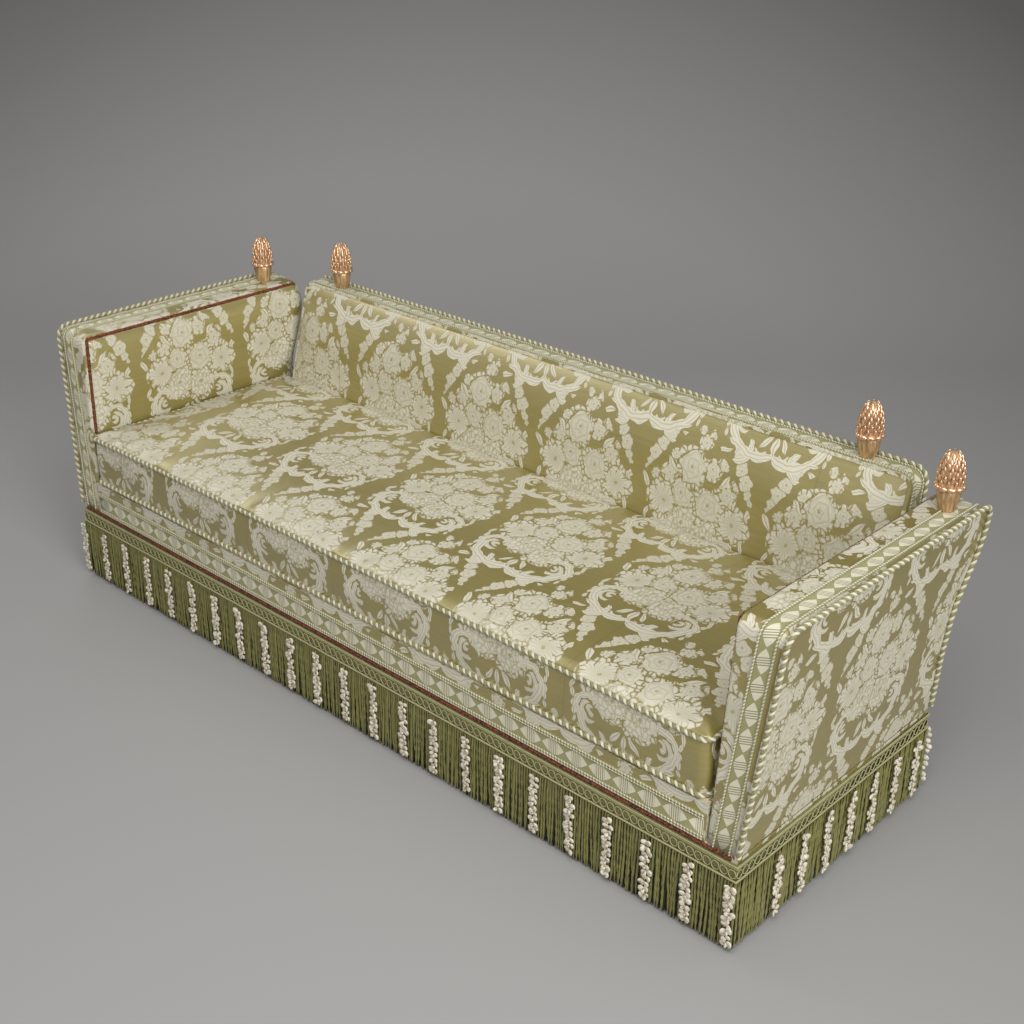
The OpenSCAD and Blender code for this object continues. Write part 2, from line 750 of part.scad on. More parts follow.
module front_gimp() {
    z0 = heading_top + joint_gap;
    block([-half_w + gimp_t, -gimp_t, z0], [half_w - gimp_t, 0, z0 + gimp_w]);
}

// Heading of the fringe, all around the base
module fringe_heading() {
    block([-half_w - heading_t, -heading_t, heading_low], [half_w + heading_t, 0, heading_top]);
    block([-half_w - heading_t, base_d, heading_low], [half_w + heading_t, base_d + heading_t,
        heading_top]);
    both_sides() block([half_w, 0, heading_low], [half_w + heading_t, base_d, heading_top]);
}

// Bullion fringe of one side, from 0 to a length along X, its crests at -heading_t
valley_share = 0.45;
crest_share = 0.35;
module bullions(length) {
    n = round(length / bullion_w);
    step = length / n;
    crests = [for (i = [0:n - 1]) each [
        [i * step, -heading_t * valley_share],
        [(i + 0.5 - crest_share / 2) * step, -heading_t],
        [(i + 0.5 + crest_share / 2) * step, -heading_t]]];
    translate([0, 0, fringe_lift]) linear_extrude(heading_low - fringe_lift)
        polygon(concat(crests, [[length, -heading_t * valley_share], [length, 0], [0, 0]]));
}

module fringe_front() {
    translate([-half_w - heading_t, 0, 0]) bullions(base_w + 2 * heading_t);
}

module fringe_back() {
    translate([half_w + heading_t, base_d, 0]) rotate([0, 0, 180]) bullions(base_w + 2 * heading_t);
}

module fringe_right() {
    translate([half_w, 0, 0]) rotate([0, 0, 90]) bullions(base_d);
}

module fringe_left() {
    mirror([1, 0, 0]) fringe_right();
}

// String of silk buds that hangs from the heading against the fringe
string_low_share = 0.16;
bud_neck_share = 0.45;
module bud_string(x, y) {
    low = heading_low * string_low_share;
    step = (heading_low - bud_d / 2 - low) / buds;
    outline = [for (i = [0:2 * buds]) [bud_d / 2 * (i % 2 == 1 ? 1 : bud_neck_share), low + i * step / 2]];
    thread_r = bud_d * bud_neck_share / 2;
    top = heading_low + thread_r;
    translate([x, y, 0]) rotate_extrude($fn = 24)
        polygon(concat([[0, low]], outline, [[thread_r, low + buds * step], [thread_r, top], [0, top]]));
}

// Loop that ties a string's thread to the face of the heading
module bud_tie() {
    t = bud_d * bud_neck_share / 4;
    translate([0, 0, heading_low + seam]) block([-t, 0, 0], [t, string_y - heading_t, t]);
}

string_first_share = 0.183;
string_last_share = 0.933;
module bud_strings() {
    for (i = [0:front_strings - 1]) {
        x = mix(-half_w - heading_t + bud_d / 2, half_w + heading_t - bud_d / 2, i / (front_strings - 1));
        bud_string(x, -string_y);
        translate([x, -string_y, 0]) bud_tie();
        bud_string(x, base_d + string_y);
        translate([x, base_d + string_y, 0]) mirror([0, 1, 0]) bud_tie();
    }
    both_sides() for (i = [0:side_strings - 1]) {
        y = base_d * mix(string_first_share, string_last_share, i / (side_strings - 1));
        bud_string(half_w + string_y, y);
        translate([half_w + string_y, y, 0]) rotate([0, 0, 90]) bud_tie();
    }
}

// Back: outline seen from the front, drawn in by an inset
function back_edge(inset) =
    let (r = max(back_corner_r - inset, least_r), x = back_half_w - inset - r, z = back_top - inset - r)
    concat([[back_half_w - inset, base_top]], arc([x, z], r, 0, 90, 6), arc([-x, z], r, 90, 180, 6),
        [[-back_half_w + inset, base_top]]);
function back_x_at(z, inset) =
    let (zc = back_top - back_corner_r, r = back_corner_r - inset, h = min(max(z - zc, 0), r))
    z > zc ? back_half_w - back_corner_r + sqrt(r * r - h * h) : back_half_w - inset;

// Layer of the back between two distances from its rear face, or to its front face
module back_layer(near, far, inset) {
    z0 = base_top;
    z1 = back_top + heading_h;
    intersection() {
        y_slab(back_edge(inset), 0, 2 * base_d);
        x_slab([[back_rear_y(z0) - near, z0], [back_rear_y(z1) - near, z1], [back_rear_y(z1) - far, z1],
            [back_rear_y(z0) - far, z0]], -base_w, base_w);
    }
}

back_board = panel_t + rail_t;
module back_outer_panel() {
    back_layer(0, panel_t, 0);
}

module between_stiles() {
    x = back_half_w - border_t - timber_w;
    block([-x, 0, 0], [x, 2 * base_d, 2 * back_top]);
}

module back_stiles() {
    difference() {
        back_layer(panel_t, back_board, border_t);
        between_stiles();
        back_dowels(pin_play);
    }
    intersection() {
        back_layer(panel_t, back_board, border_t);
        for (s = cross_shares)
            block([back_half_w * s - timber_w / 2, 0, base_top + timber_w],
                [back_half_w * s + timber_w / 2, 2 * base_d, back_top - border_t - timber_w]);
    }
}

module back_rails() {
    difference() {
        intersection() {
            back_layer(panel_t, back_board, border_t);
            between_stiles();
        }
        block([-back_half_w, 0, base_top + timber_w], [back_half_w, 2 * base_d,
            back_top - border_t - timber_w]);
        back_dowels(pin_play);
    }
}

module back_dowels(play) {
    both_sides() translate([back_finial_x, back_finial_y, back_top - dowel_l - seam])
        cylinder(h = dowel_l + 2 * cut, r = dowel_d / 2 + play, $fn = 32);
}

module back_webbing() {
    intersection() {
        back_layer(back_board, back_board + webbing_t, border_t);
        block([-base_w, 0, deck_top], [base_w, 2 * base_d, 2 * back_top]);
    }
}

// Swell of the stuffing on the back, with a roll under the top and at the ends
back_end_power = 24;
function back_swell(x, z) =
    let (
        low = deck_top + cushion_h,
        roll = 2 * back_corner_r,
        top = back_top - border_t,
        s = abs(x) / back_x_at(z, border_t))
    back_crown * smooth((z - low) / (top - low - roll)) * sqrt(min(1, max(0, (top - z) / roll)))
        * (1 - pow(s, back_end_power));

module back_pad() {
    inset = border_t + 2 * seam;
    top = back_top - inset;
    rise_shares = [0, 0.35, 0.48, 0.58, 0.67, 0.75, 0.82, 0.88, 0.93, 0.965, 0.985, 1];
    side_shares = [1, 0.985, 0.965, 0.93, 0.88, 0.75, 0.6, 0.4, 0.2, 0];
    across_shares = concat(side_shares, [for (i = [len(side_shares) - 2:-1:0]) -side_shares[i]]);
    face = [for (t = rise_shares) let (z = mix(deck_top, top, t))
        [for (s = across_shares) let (x = back_x_at(z, inset) * s)
            [x, back_front_y(z) - back_swell(x, z), z]]];
    board = [for (row = face) [for (p = row) [p[0], back_rear_y(p[2]) - back_board - webbing_t - touch,
        p[2]]]];
    stuffed(face, board);
}

// Strip that wraps the ends and top of the back
module back_border() {
    z0 = base_top;
    z1 = back_top + heading_h;
    difference() {
        intersection() {
            y_slab(back_edge(0), 0, 2 * base_d);
            x_slab([[back_rear_y(z0) - panel_t, z0], [back_rear_y(z1) - panel_t, z1],
                [back_front_y(z1), z1],
                [back_front_y(z0), z0]], -base_w, base_w);
            block([-base_w, 0, deck_top], [base_w, 2 * base_d, 2 * back_top]);
        }
        y_slab(concat(back_edge(border_t), [[-back_half_w + border_t, 0], [back_half_w - border_t, 0]]),
            -cut, 2 * base_d + cut);
        back_dowels(pin_play);
    }
}

module back_galloon() {
    difference() {
        back_layer(cord_d / 2, back_top_t - cord_d / 2, -galloon_t);
        y_slab(back_edge(0), -cut, 2 * base_d + cut);
        block([-base_w, 0, 0], [base_w, 2 * base_d, deck_top + cushion_h]);
        both_sides() translate([back_finial_x, back_finial_y, back_top - cut])
            cylinder(h = galloon_t + 2 * cut, r = finial_seat_r + seam, $fn = 48);
    }
}

module back_cord() {
    r = cord_d / 2;
    stand = r * sin(45) + seam / 2;
    edge = [for (p = back_edge(-stand)) [p[0], max(p[1], base_top + r)]];
    corded([for (p = edge) [p[0], back_rear_y(p[1]) + stand, p[1]]], cord_d, [0, 1, 0]);
}

// Loose cushion: a loop of its edge at one height, drawn in by an inset
cushion_half_w = seat_half_w - cord_d;
cushion_front = 3;
corner_points = 4;
long_points = 16;
short_points = 6;
function line_points(a, b, n) = [for (i = [1:n - 1]) [mix(a[0], b[0], i / n), mix(a[1], b[1], i / n)]];
function round_loop(x, y0, y1, r, long_n, short_n) = concat(
    arc([x - r, y0 + r], r, -90, 0, corner_points),
    line_points([x, y0 + r], [x, y1 - r], short_n),
    arc([x - r, y1 - r], r, 0, 90, corner_points),
    line_points([x - r, y1], [-x + r, y1], long_n),
    arc([-x + r, y1 - r], r, 90, 180, corner_points),
    line_points([-x, y1 - r], [-x, y0 + r], short_n),
    arc([-x + r, y0 + r], r, 180, 270, corner_points),
    line_points([-x + r, y0], [x - r, y0], long_n));
function drawn(p, y1) =
    let (u = p[0] / cushion_half_w, v = (p[1] - cushion_front) / (y1 - cushion_front))
    [p[0] * (1 - cushion_draw / cushion_half_w * (1 - pow(2 * v - 1, 2))),
        p[1] + cushion_draw * (1 - u * u) * (1 - 2 * v)];
function cushion_rear(z) = back_front_y(z) - rest_gap;
function cushion_bulge(t) = cushion_draw / 3 * sin(180 * t);
function cushion_loop(inset, z, rise) =
    let (y1 = cushion_rear(z), r = max(cushion_corner_r - inset, cord_d))
    [for (p = round_loop(cushion_half_w - inset, cushion_front + inset, y1 - inset, r, long_points,
        short_points))
        let (q = drawn(p, y1)) [q[0], q[1], z + rise]];

module seat_cushion() {
    top = deck_top + cushion_h;
    deep = (cushion_rear(top) - cushion_front) / 2 - 2 * cord_d;
    side_shares = [0.03, 0.25, 0.5, 0.75, 0.97];
    inset_shares = [0.02, 0.07, 0.15, 0.28, 0.45, 0.68, 1];
    lofted(concat(
        [cushion_loop(cord_d, deck_top, 0)],
        [for (t = side_shares) cushion_loop(-cushion_bulge(t), mix(deck_top, top, t), 0)],
        [for (s = inset_shares)
            cushion_loop(deep * s, top, cushion_crown * sqrt(1 - pow(1 - s, 2)))]));
}

// Piping along the ends and the front of the cushion, above and below
module seat_cushion_cords() {
    top = deck_top + cushion_h;
    stand = cord_d / 2 + cushion_bulge(cord_d / 2 / cushion_h) + seam / 2;
    for (z = [deck_top + cord_d / 2, top - cord_d / 2]) {
        loop = cushion_loop(-stand, z, 0);
        n = len(loop);
        first = 3 * corner_points + short_points + long_points;
        count = n - long_points - 2 * corner_points + 1;
        corded([for (i = [0:count - 1]) loop[(first + i) % n]], cord_d, [0, 0, 1]);
    }
}

module right_side() {
    at_middle() children();
}

module left_side() {
    at_middle() mirror([1, 0, 0]) children();
}

color(beech_colour) at_middle() front_rail();
color(beech_colour) at_middle() back_rail();
color(beech_colour) at_middle() side_rails();
color(beech_colour) at_middle() cross_rails();
color(beech_colour) at_middle() corner_blocks();
color(beech_colour) at_middle() feet();
color(beech_colour) at_middle() arm_ledges();
color(beech_colour) at_middle() seat_rails();
color(steel_colour) at_middle() seat_springs();
color(cloth_colour) at_middle() seat_deck();
color(cloth_colour) at_middle() dust_cover();
color(damask_colour) at_middle() front_border();
color(damask_colour) at_middle() base_covers();
color(galloon_colour) at_middle() front_galloon();
color(gimp_colour) at_middle() front_gimp();
color(heading_colour) at_middle() fringe_heading();
color(fringe_colour) at_middle() fringe_front();
color(fringe_colour) at_middle() fringe_back();
color(fringe_colour) at_middle() fringe_left();
color(fringe_colour) at_middle() fringe_right();
color(bud_colour) at_middle() bud_strings();
color(beech_colour) at_middle() back_stiles();
color(beech_colour) at_middle() back_rails();
color(cloth_colour) at_middle() back_webbing();
color(damask_colour) at_middle() back_pad();
color(damask_colour) at_middle() back_border();
color(galloon_colour) at_middle() back_galloon();
color(cord_colour) at_middle() back_cord();
color(damask_colour) at_middle() back_outer_panel();
color(gilt_colour) at_middle() finial_at(back_finial_x, back_finial_y, back_top);  // back_right_finial
color(gilt_colour) at_middle() finial_at(-back_finial_x, back_finial_y, back_top);  // back_left_finial
color(metal_colour) at_middle() base_hinge_leaves();
color(metal_colour) at_middle() hinge_pins();
color(beech_colour) right_side() arm_posts();  // right_arm_posts
color(beech_colour) right_side() arm_rails();  // right_arm_rails
color(cloth_colour) right_side() arm_webbing();  // right_arm_webbing
color(damask_colour) right_side() arm_outer_panel();  // right_arm_outer_panel
color(damask_colour) right_side() arm_pad();  // right_arm_pad
color(damask_colour) right_side() arm_border();  // right_arm_border
color(galloon_colour) right_side() arm_galloon();  // right_arm_galloon
color(cord_colour) right_side() arm_cord();  // right_arm_cord
color(gimp_colour) right_side() arm_gimp();  // right_arm_gimp
color(gilt_colour) right_side() finial_at(arm_finial_x, arm_finial_y, arm_top);  // right_arm_finial
color(metal_colour) right_side() arm_hinge_leaves();  // right_arm_hinge_leaves
color(metal_colour) right_side() arm_stays();  // right_arm_stays
color(beech_colour) left_side() arm_posts();  // left_arm_posts
color(beech_colour) left_side() arm_rails();  // left_arm_rails
color(cloth_colour) left_side() arm_webbing();  // left_arm_webbing
color(damask_colour) left_side() arm_outer_panel();  // left_arm_outer_panel
color(damask_colour) left_side() arm_pad();  // left_arm_pad
color(damask_colour) left_side() arm_border();  // left_arm_border
color(galloon_colour) left_side() arm_galloon();  // left_arm_galloon
color(cord_colour) left_side() arm_cord();  // left_arm_cord
color(gimp_colour) left_side() arm_gimp();  // left_arm_gimp
color(gilt_colour) left_side() finial_at(arm_finial_x, arm_finial_y, arm_top);  // left_arm_finial
color(metal_colour) left_side() arm_hinge_leaves();  // left_arm_hinge_leaves
color(metal_colour) left_side() arm_stays();  // left_arm_stays
color(damask_colour) at_middle() seat_cushion();
color(cord_colour) at_middle() seat_cushion_cords();
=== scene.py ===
"""Looks of a long knole sofa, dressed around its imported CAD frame. Lengths are metres."""

import math

import bmesh
import bpy
import numpy as np
from mathutils import Matrix


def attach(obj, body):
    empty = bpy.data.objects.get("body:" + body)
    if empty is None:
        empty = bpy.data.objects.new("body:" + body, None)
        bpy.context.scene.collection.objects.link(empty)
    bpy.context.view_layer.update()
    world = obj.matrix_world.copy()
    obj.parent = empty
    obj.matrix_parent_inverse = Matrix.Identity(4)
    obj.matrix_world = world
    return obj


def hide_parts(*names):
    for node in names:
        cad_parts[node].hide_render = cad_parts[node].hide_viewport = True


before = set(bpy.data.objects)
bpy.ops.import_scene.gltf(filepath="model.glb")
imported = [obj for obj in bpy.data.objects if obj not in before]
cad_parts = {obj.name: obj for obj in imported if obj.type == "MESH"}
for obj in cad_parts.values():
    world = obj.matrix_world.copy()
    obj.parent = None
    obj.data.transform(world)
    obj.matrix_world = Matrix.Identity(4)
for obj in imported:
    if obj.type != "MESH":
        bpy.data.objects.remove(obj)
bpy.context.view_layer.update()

# Sizes shared with the CAD model; Y is counted from the front of the base until a mesh is made
MID_Y = 0.41481
HALF_W = 1.195
BASE_D = 0.765
BASE_TOP = 0.239
DECK_TOP = 0.338
CUSHION_TOP = 0.483
SEAT_HALF_W = 1.108
HEADING_LOW = 0.182
HEADING_TOP = 0.225
HEADING_T = 0.008
ARM_TOP = 0.775
ARM_LEAN = math.radians(5.7)
ARM_FOOT_T = 0.080
ARM_TOP_T = 0.116
ARM_FRONT_SET = 0.020
ARM_FRONT_R = 0.030
ARM_REAR_R = 0.026
BORDER_T = 0.009
BACK_TOP = 0.787
BACK_HALF_W = 1.069
BACK_CORNER_R = 0.032
BACK_TOP_T = 0.056
BACK_FRONT_RAKE = math.tan(math.radians(14.8))
BACK_REAR_RAKE = math.tan(math.radians(8.4))
CORD_D = 0.008
ROPE_D = 0.0128
ROPE_PITCH = 0.0200
GALLOON_W = 0.046
GALLOON_INSET = 0.017
GAP = 0.0005
SIDES = {"right": 1, "left": -1}
AXIS_X, AXIS_Y, UP = np.eye(3)


def smooth(s):
    s = np.clip(s, 0, 1)
    return s * s * (3 - 2 * s)


def mix(a, b, s):
    return a + (b - a) * s


def outer_x(z):
    return HALF_W + GAP + (z - BASE_TOP) * math.tan(ARM_LEAN)


def inner_x(z):
    rise = (ARM_TOP - BASE_TOP) * math.tan(ARM_LEAN)
    return HALF_W - ARM_FOOT_T + (z - BASE_TOP) / (ARM_TOP - BASE_TOP) * (rise + ARM_FOOT_T - ARM_TOP_T)


def arm_front_y(z):
    return ARM_FRONT_SET * (z - BASE_TOP) / (ARM_TOP - BASE_TOP)


def arm_rear_y(z):
    t = (z - BASE_TOP) / (ARM_TOP - BASE_TOP)
    return BASE_D - 0.018 * smooth(t / 0.35) + 0.054 * smooth((t - 0.48) / 0.4)


def back_rear_y(z):
    return BASE_D + (z - BASE_TOP) * BACK_REAR_RAKE


def back_front_y(z):
    return back_rear_y(BACK_TOP) - BACK_TOP_T - (BACK_TOP - z) * BACK_FRONT_RAKE


# Shader arithmetic, so that a pattern reads as a formula
def operator(kind, swapped=False):
    """A method that joins a number to another one."""
    def method(self, other):
        values = (other, self) if swapped else (self, other)
        return self.net.math(kind, *values)
    return method


def function(kind):
    """A method that works out a number from one or two others."""
    return lambda self, *values: self.math(kind, *values)


class Num:
    """A number inside a node tree."""

    __add__ = operator("ADD")
    __radd__ = operator("ADD", swapped=True)
    __sub__ = operator("SUBTRACT")
    __rsub__ = operator("SUBTRACT", swapped=True)
    __mul__ = operator("MULTIPLY")
    __rmul__ = operator("MULTIPLY", swapped=True)
    __truediv__ = operator("DIVIDE")
    __pow__ = operator("POWER")

    def __init__(self, net, socket):
        self.net = net
        self.socket = socket


class Net:
    """Builds nodes in a tree."""

    sin = function("SINE")
    abs = function("ABSOLUTE")
    fract = function("FRACT")
    floor = function("FLOOR")
    least = function("MINIMUM")
    most = function("MAXIMUM")
    under = function("LESS_THAN")
    arctan = function("ARCTAN2")

    def __init__(self, tree):
        self.tree = tree

    def node(self, kind, *values, **settings):
        """A new node with its settings, and with the values of its first inputs."""
        node = self.tree.nodes.new(kind)
        for name, value in settings.items():
            setattr(node, name, value)
        for socket, value in zip(node.inputs, values):
            self.put(socket, value)
        return node

    def put(self, socket, value):
        """Links a number or a socket to an input, or sets the input's own value."""
        if isinstance(value, Num):
            value = value.socket
        if isinstance(value, bpy.types.NodeSocket):
            self.tree.links.new(value, socket)
        else:
            socket.default_value = value

    def math(self, kind, *values):
        return Num(self, self.node("ShaderNodeMath", *values, operation=kind).outputs[0])

    def blend(self, kind, a, b, share):
        """a where share is 0, b where it is 1; kind is 0 for numbers, 1 for vectors, 2 for colours."""
        node = self.node("ShaderNodeMix", data_type=("FLOAT", "VECTOR", "RGBA")[kind])
        for place, value in ((2 + 2 * kind, a), (3 + 2 * kind, b), (0, share)):
            self.put(node.inputs[place], value)
        return node.outputs[kind]

    def choose(self, a, b, share):
        return Num(self, self.blend(0, a, b, share))

    def tint(self, a, b, share):
        return self.blend(2, a, b, share)

    def ramp(self, value, low, high):
        """0 below low, 1 above high, smooth between."""
        node = self.node("ShaderNodeMapRange", value, low, high, 0.0, 1.0, interpolation_type="SMOOTHSTEP")
        return Num(self, node.outputs[0])

    def pair(self, x, y):
        return self.node("ShaderNodeCombineXYZ", x, y, 0.0).outputs[0]

    def parts(self, vector):
        return [Num(self, out) for out in self.node("ShaderNodeSeparateXYZ", vector).outputs]

    def vector(self, kind, *values):
        return self.node("ShaderNodeVectorMath", *values, operation=kind).outputs[0]

    def measure(self, kind, *values):
        """A number that is worked out from vectors."""
        return Num(self, self.node("ShaderNodeVectorMath", *values, operation=kind).outputs["Value"])

    def fill(self, node, **values):
        """Gives a node's inputs by name, with underlines for spaces."""
        for label, value in values.items():
            self.put(node.inputs[label.replace("_", " ")], value)

    def noise(self, vector, scale, detail):
        node = self.node("ShaderNodeTexNoise")
        self.fill(node, Vector=vector, Scale=scale, Detail=detail)
        return Num(self, node.outputs["Fac"])

    def cells(self, vector, scale):
        """Distance to the nearest border of a net of cells."""
        node = self.node("ShaderNodeTexVoronoi", feature="DISTANCE_TO_EDGE")
        self.fill(node, Vector=vector, Scale=scale)
        return Num(self, node.outputs["Distance"])

    def spot(self):
        """The place on the object, in metres."""
        return self.node("ShaderNodeTexCoord").outputs["Object"]


# Damask: a half-drop repeat of one bouquet over a scrolled bow with two garlands
REPEAT_W = 0.372
REPEAT_H = 0.710
WIDE_LEVEL = 0.070
GROUND = (0.345, 0.282, 0.062, 1.0)
GROUND_SHEEN = 0.36
GROUND_GLAZE = 0.85
GROUND_ROUGH = 0.33
FIGURE_ROUGH = 0.58
DRAWING_WANDER = 0.018
BLOSSOM_CELLS = 66.0
MIRROR_X = 0.008
GROUND_DEEP = (0.290, 0.230, 0.044, 1.0)
FIGURE = (0.650, 0.615, 0.505, 1.0)
FIGURE_LINE = (0.330, 0.298, 0.140, 1.0)
SEAM_SHADE = (0.110, 0.095, 0.035, 1.0)

# Where a bouquet lies on the back and the seat, and on the outer and inner face of an arm
COLUMN_X = -0.044
BACK_BOUQUET_Z = 0.570
SEAT_BOUQUET_Y = 0.410
ARM_COLUMN_Y = 0.430
ARM_BOUQUET_Z = 0.520
PAD_COLUMN_Y = 0.352
PAD_BOUQUET_Z = 0.632

# Flowers of the bouquet: x, y, radius, petals and depth of the petals' notches
FLOWERS = (
    (-0.012, 0.082, 0.041, 5, 0.16),
    (0.046, -0.004, 0.040, 5, 0.16),
    (-0.092, -0.026, 0.042, 7, 0.46),
    (0.124, -0.030, 0.041, 7, 0.46),
    (-0.036, 0.004, 0.032, 4, 0.20),
    (-0.030, -0.070, 0.044, 12, 0.20),
    (0.044, -0.088, 0.044, 12, 0.20),
    (0.100, 0.040, 0.024, 6, 0.32),
    (-0.078, 0.048, 0.020, 5, 0.36),
    (0.048, 0.090, 0.022, 5, 0.32),
    (0.078, 0.112, 0.014, 5, 0.38),
    (0.012, 0.150, 0.016, 5, 0.36),
    (0.032, 0.176, 0.011, 5, 0.38),
    (-0.064, 0.100, 0.014, 5, 0.38),
    (0.124, 0.070, 0.011, 5, 0.38),
    (-0.120, 0.036, 0.012, 5, 0.38),
    (-0.006, 0.178, 0.010, 5, 0.38),
)
# Blossoms of a hanging string of one half, in the same order
STRING = (
    (0.100, -0.182, 0.0100, 5, 0.30),
    (0.090, -0.198, 0.0125, 5, 0.30),
    (0.078, -0.217, 0.0155, 5, 0.28),
    (0.064, -0.240, 0.0190, 5, 0.26),
    (0.047, -0.268, 0.0220, 5, 0.24),
    (0.034, -0.296, 0.0140, 5, 0.30),
    (0.026, -0.312, 0.0080, 5, 0.34),
)
# Leaves of one half, mirrored to the other: x, y, angle in degrees, half length and half width
LEAVES = (
    (0.080, 0.070, 50, 0.026, 0.009),
    (0.160, 0.012, 60, 0.024, 0.009),
    (0.152, -0.076, -75, 0.018, 0.006),
    (0.149, -0.098, -100, 0.012, 0.006),
    (0.146, -0.121, -82, 0.012, 0.006),
    (0.145, -0.144, -98, 0.012, 0.006),
    (0.142, -0.165, -86, 0.011, 0.005),
    (0.000, -0.162, 90, 0.022, 0.009),
    (0.026, -0.158, 125, 0.024, 0.007),
    (0.128, -0.205, -20, 0.024, 0.007),
    (0.116, -0.180, 20, 0.018, 0.006),
)
# Ribbon and scroll arcs of one half: centre x, y, radius, half width, direction of the middle, half
# spread and the number of lobes in a full turn
ARCS = (
    (0.046, -0.112, 0.088, 0.0110, -62, 66, 17.0),
    (0.098, -0.126, 0.041, 0.0095, 70, 118, 11.0),
    (0.098, -0.126, 0.022, 0.0065, -20, 120, 0.0),
    (0.096, -0.122, 0.008, 0.0050, 0, 179, 0.0),
    (0.034, -0.176, 0.030, 0.0080, -90, 92, 0.0),
    (0.034, -0.176, 0.014, 0.0030, -90, 84, 0.0),
    (0.092, -0.190, 0.034, 0.0080, 205, 82, 9.0),
    (0.062, -0.226, 0.032, 0.0045, 80, 70, 0.0),
)


def flower_mask(net, place, blossoms, flowers, leafy):
    """Cover and drawn lines of flowers: each point belongs to the nearest one."""
    near = None
    for x, y, r, petals, depth in flowers:
        local = net.vector("MULTIPLY_ADD", place, (1 / r, 1 / r, 0), (-x / r, -y / r, 0))
        far = net.measure("LENGTH", local)
        if near is None:
            near, nearest, second = local, far, 9.0
            count, notch = float(petals), depth
            continue
        closer = net.under(far, nearest)
        second = net.least(second, net.most(far, nearest))
        near = net.blend(1, near, local, closer)
        count = net.choose(count, float(petals), closer)
        notch = net.choose(notch, depth, closer)
        nearest = net.least(far, nearest)
    x, y = net.parts(near)[:2]
    angle = net.arctan(y, x)
    lobe = net.abs(net.sin(angle * count * 0.5 + 0.6))
    frill = net.sin(angle * 23.0 + nearest * 9.0) * 0.02 + net.sin(angle * 2.0 + count) * 0.05
    edge = 1.0 + frill - notch * (1.0 - lobe ** 0.6)
    gap = net.ramp(second - nearest, 0.01, 0.09)
    cover = net.ramp(edge - nearest, 0.0, 0.05) * (0.30 + 0.70 * gap)
    rings = nearest * 2.9 + angle * 0.16
    fold = net.abs(net.sin(angle * count * 0.5 + net.floor(rings) * 1.3))
    turned = net.fract(rings + fold * 0.42)
    ruffles = net.cells(net.pair(x + count * 3.7, y + notch * 9.0), 3.4)
    vein = 1.0 - net.ramp(net.abs(net.sin(angle * count * 1.5 + nearest * 2.0)), 0.06, 0.36)
    many, long_petals = net.under(8.0, count), net.ramp(notch, 0.40, 0.44)
    drawn = net.choose(1.0 - net.ramp(turned, 0.04, 0.15), 1.0 - net.ramp(ruffles, 0.02, 0.09), many)
    drawn = net.choose(drawn, vein, long_petals)
    shade = net.choose(turned, 1.0 - net.ramp(ruffles, 0.0, 0.30), many)
    shade = net.choose(shade, 1.0 - nearest, long_petals) * 0.42
    outline = 1.0 - net.ramp(second - nearest, 0.08, 0.30)
    heart = 1.0 - net.ramp(nearest, 0.09, 0.16)
    line = net.most(net.most(drawn * 0.9, outline * 0.8), net.most(heart, shade))
    if not leafy:
        return cover, line * cover
    spread = net.noise(place, 30.0, 1.0)
    leaves = net.ramp(0.98 + spread * 0.64 - nearest, 0.0, 0.05) * net.ramp(blossoms, 0.055, 0.11)
    sprays = leaves * (1.0 - cover)
    return net.most(cover, leaves), line * cover + sprays * (1.0 - net.ramp(blossoms, 0.12, 0.26)) * 0.5


def leaf_mask(net, half, x, y, degrees, long, wide):
    """Cover and middle rib of a pointed leaf."""
    a = math.radians(degrees)
    local = net.vector("SUBTRACT", half, (x, y, 0))
    along = net.measure("DOT_PRODUCT", local, (math.cos(a) / long, math.sin(a) / long, 0))
    across = net.abs(net.measure("DOT_PRODUCT", local, (-math.sin(a) / wide, math.cos(a) / wide, 0)))
    body = 1.0 - along * along - across
    return net.ramp(body, 0.0, 0.12), 1.0 - net.ramp(across, 0.05, 0.22)


def arc_mask(net, half, x, y, r, wide, degrees, spread, lobes):
    """Cover and edge lines of a tapering arc, lobed where asked."""
    a = math.radians(degrees)
    local = net.vector("SUBTRACT", half, (x, y, 0))
    far = net.measure("LENGTH", local)
    facing = net.measure("DOT_PRODUCT", local, (math.cos(a), math.sin(a), 0)) / far
    limit = math.cos(math.radians(spread))
    taper = net.ramp(facing, limit, mix(limit, 1.0, 0.45))
    off = net.abs(far - r) / wide
    if lobes:
        px, py = net.parts(local)[:2]
        wave = net.abs(net.sin(net.arctan(py, px) * (lobes / 2) + far * 160.0))
        taper = taper * (0.80 + 0.28 * wave)
    return net.ramp(taper - off, 0.0, 0.15), (1.0 - net.ramp(net.abs(off - 0.42), 0.04, 0.20)) * 0.6


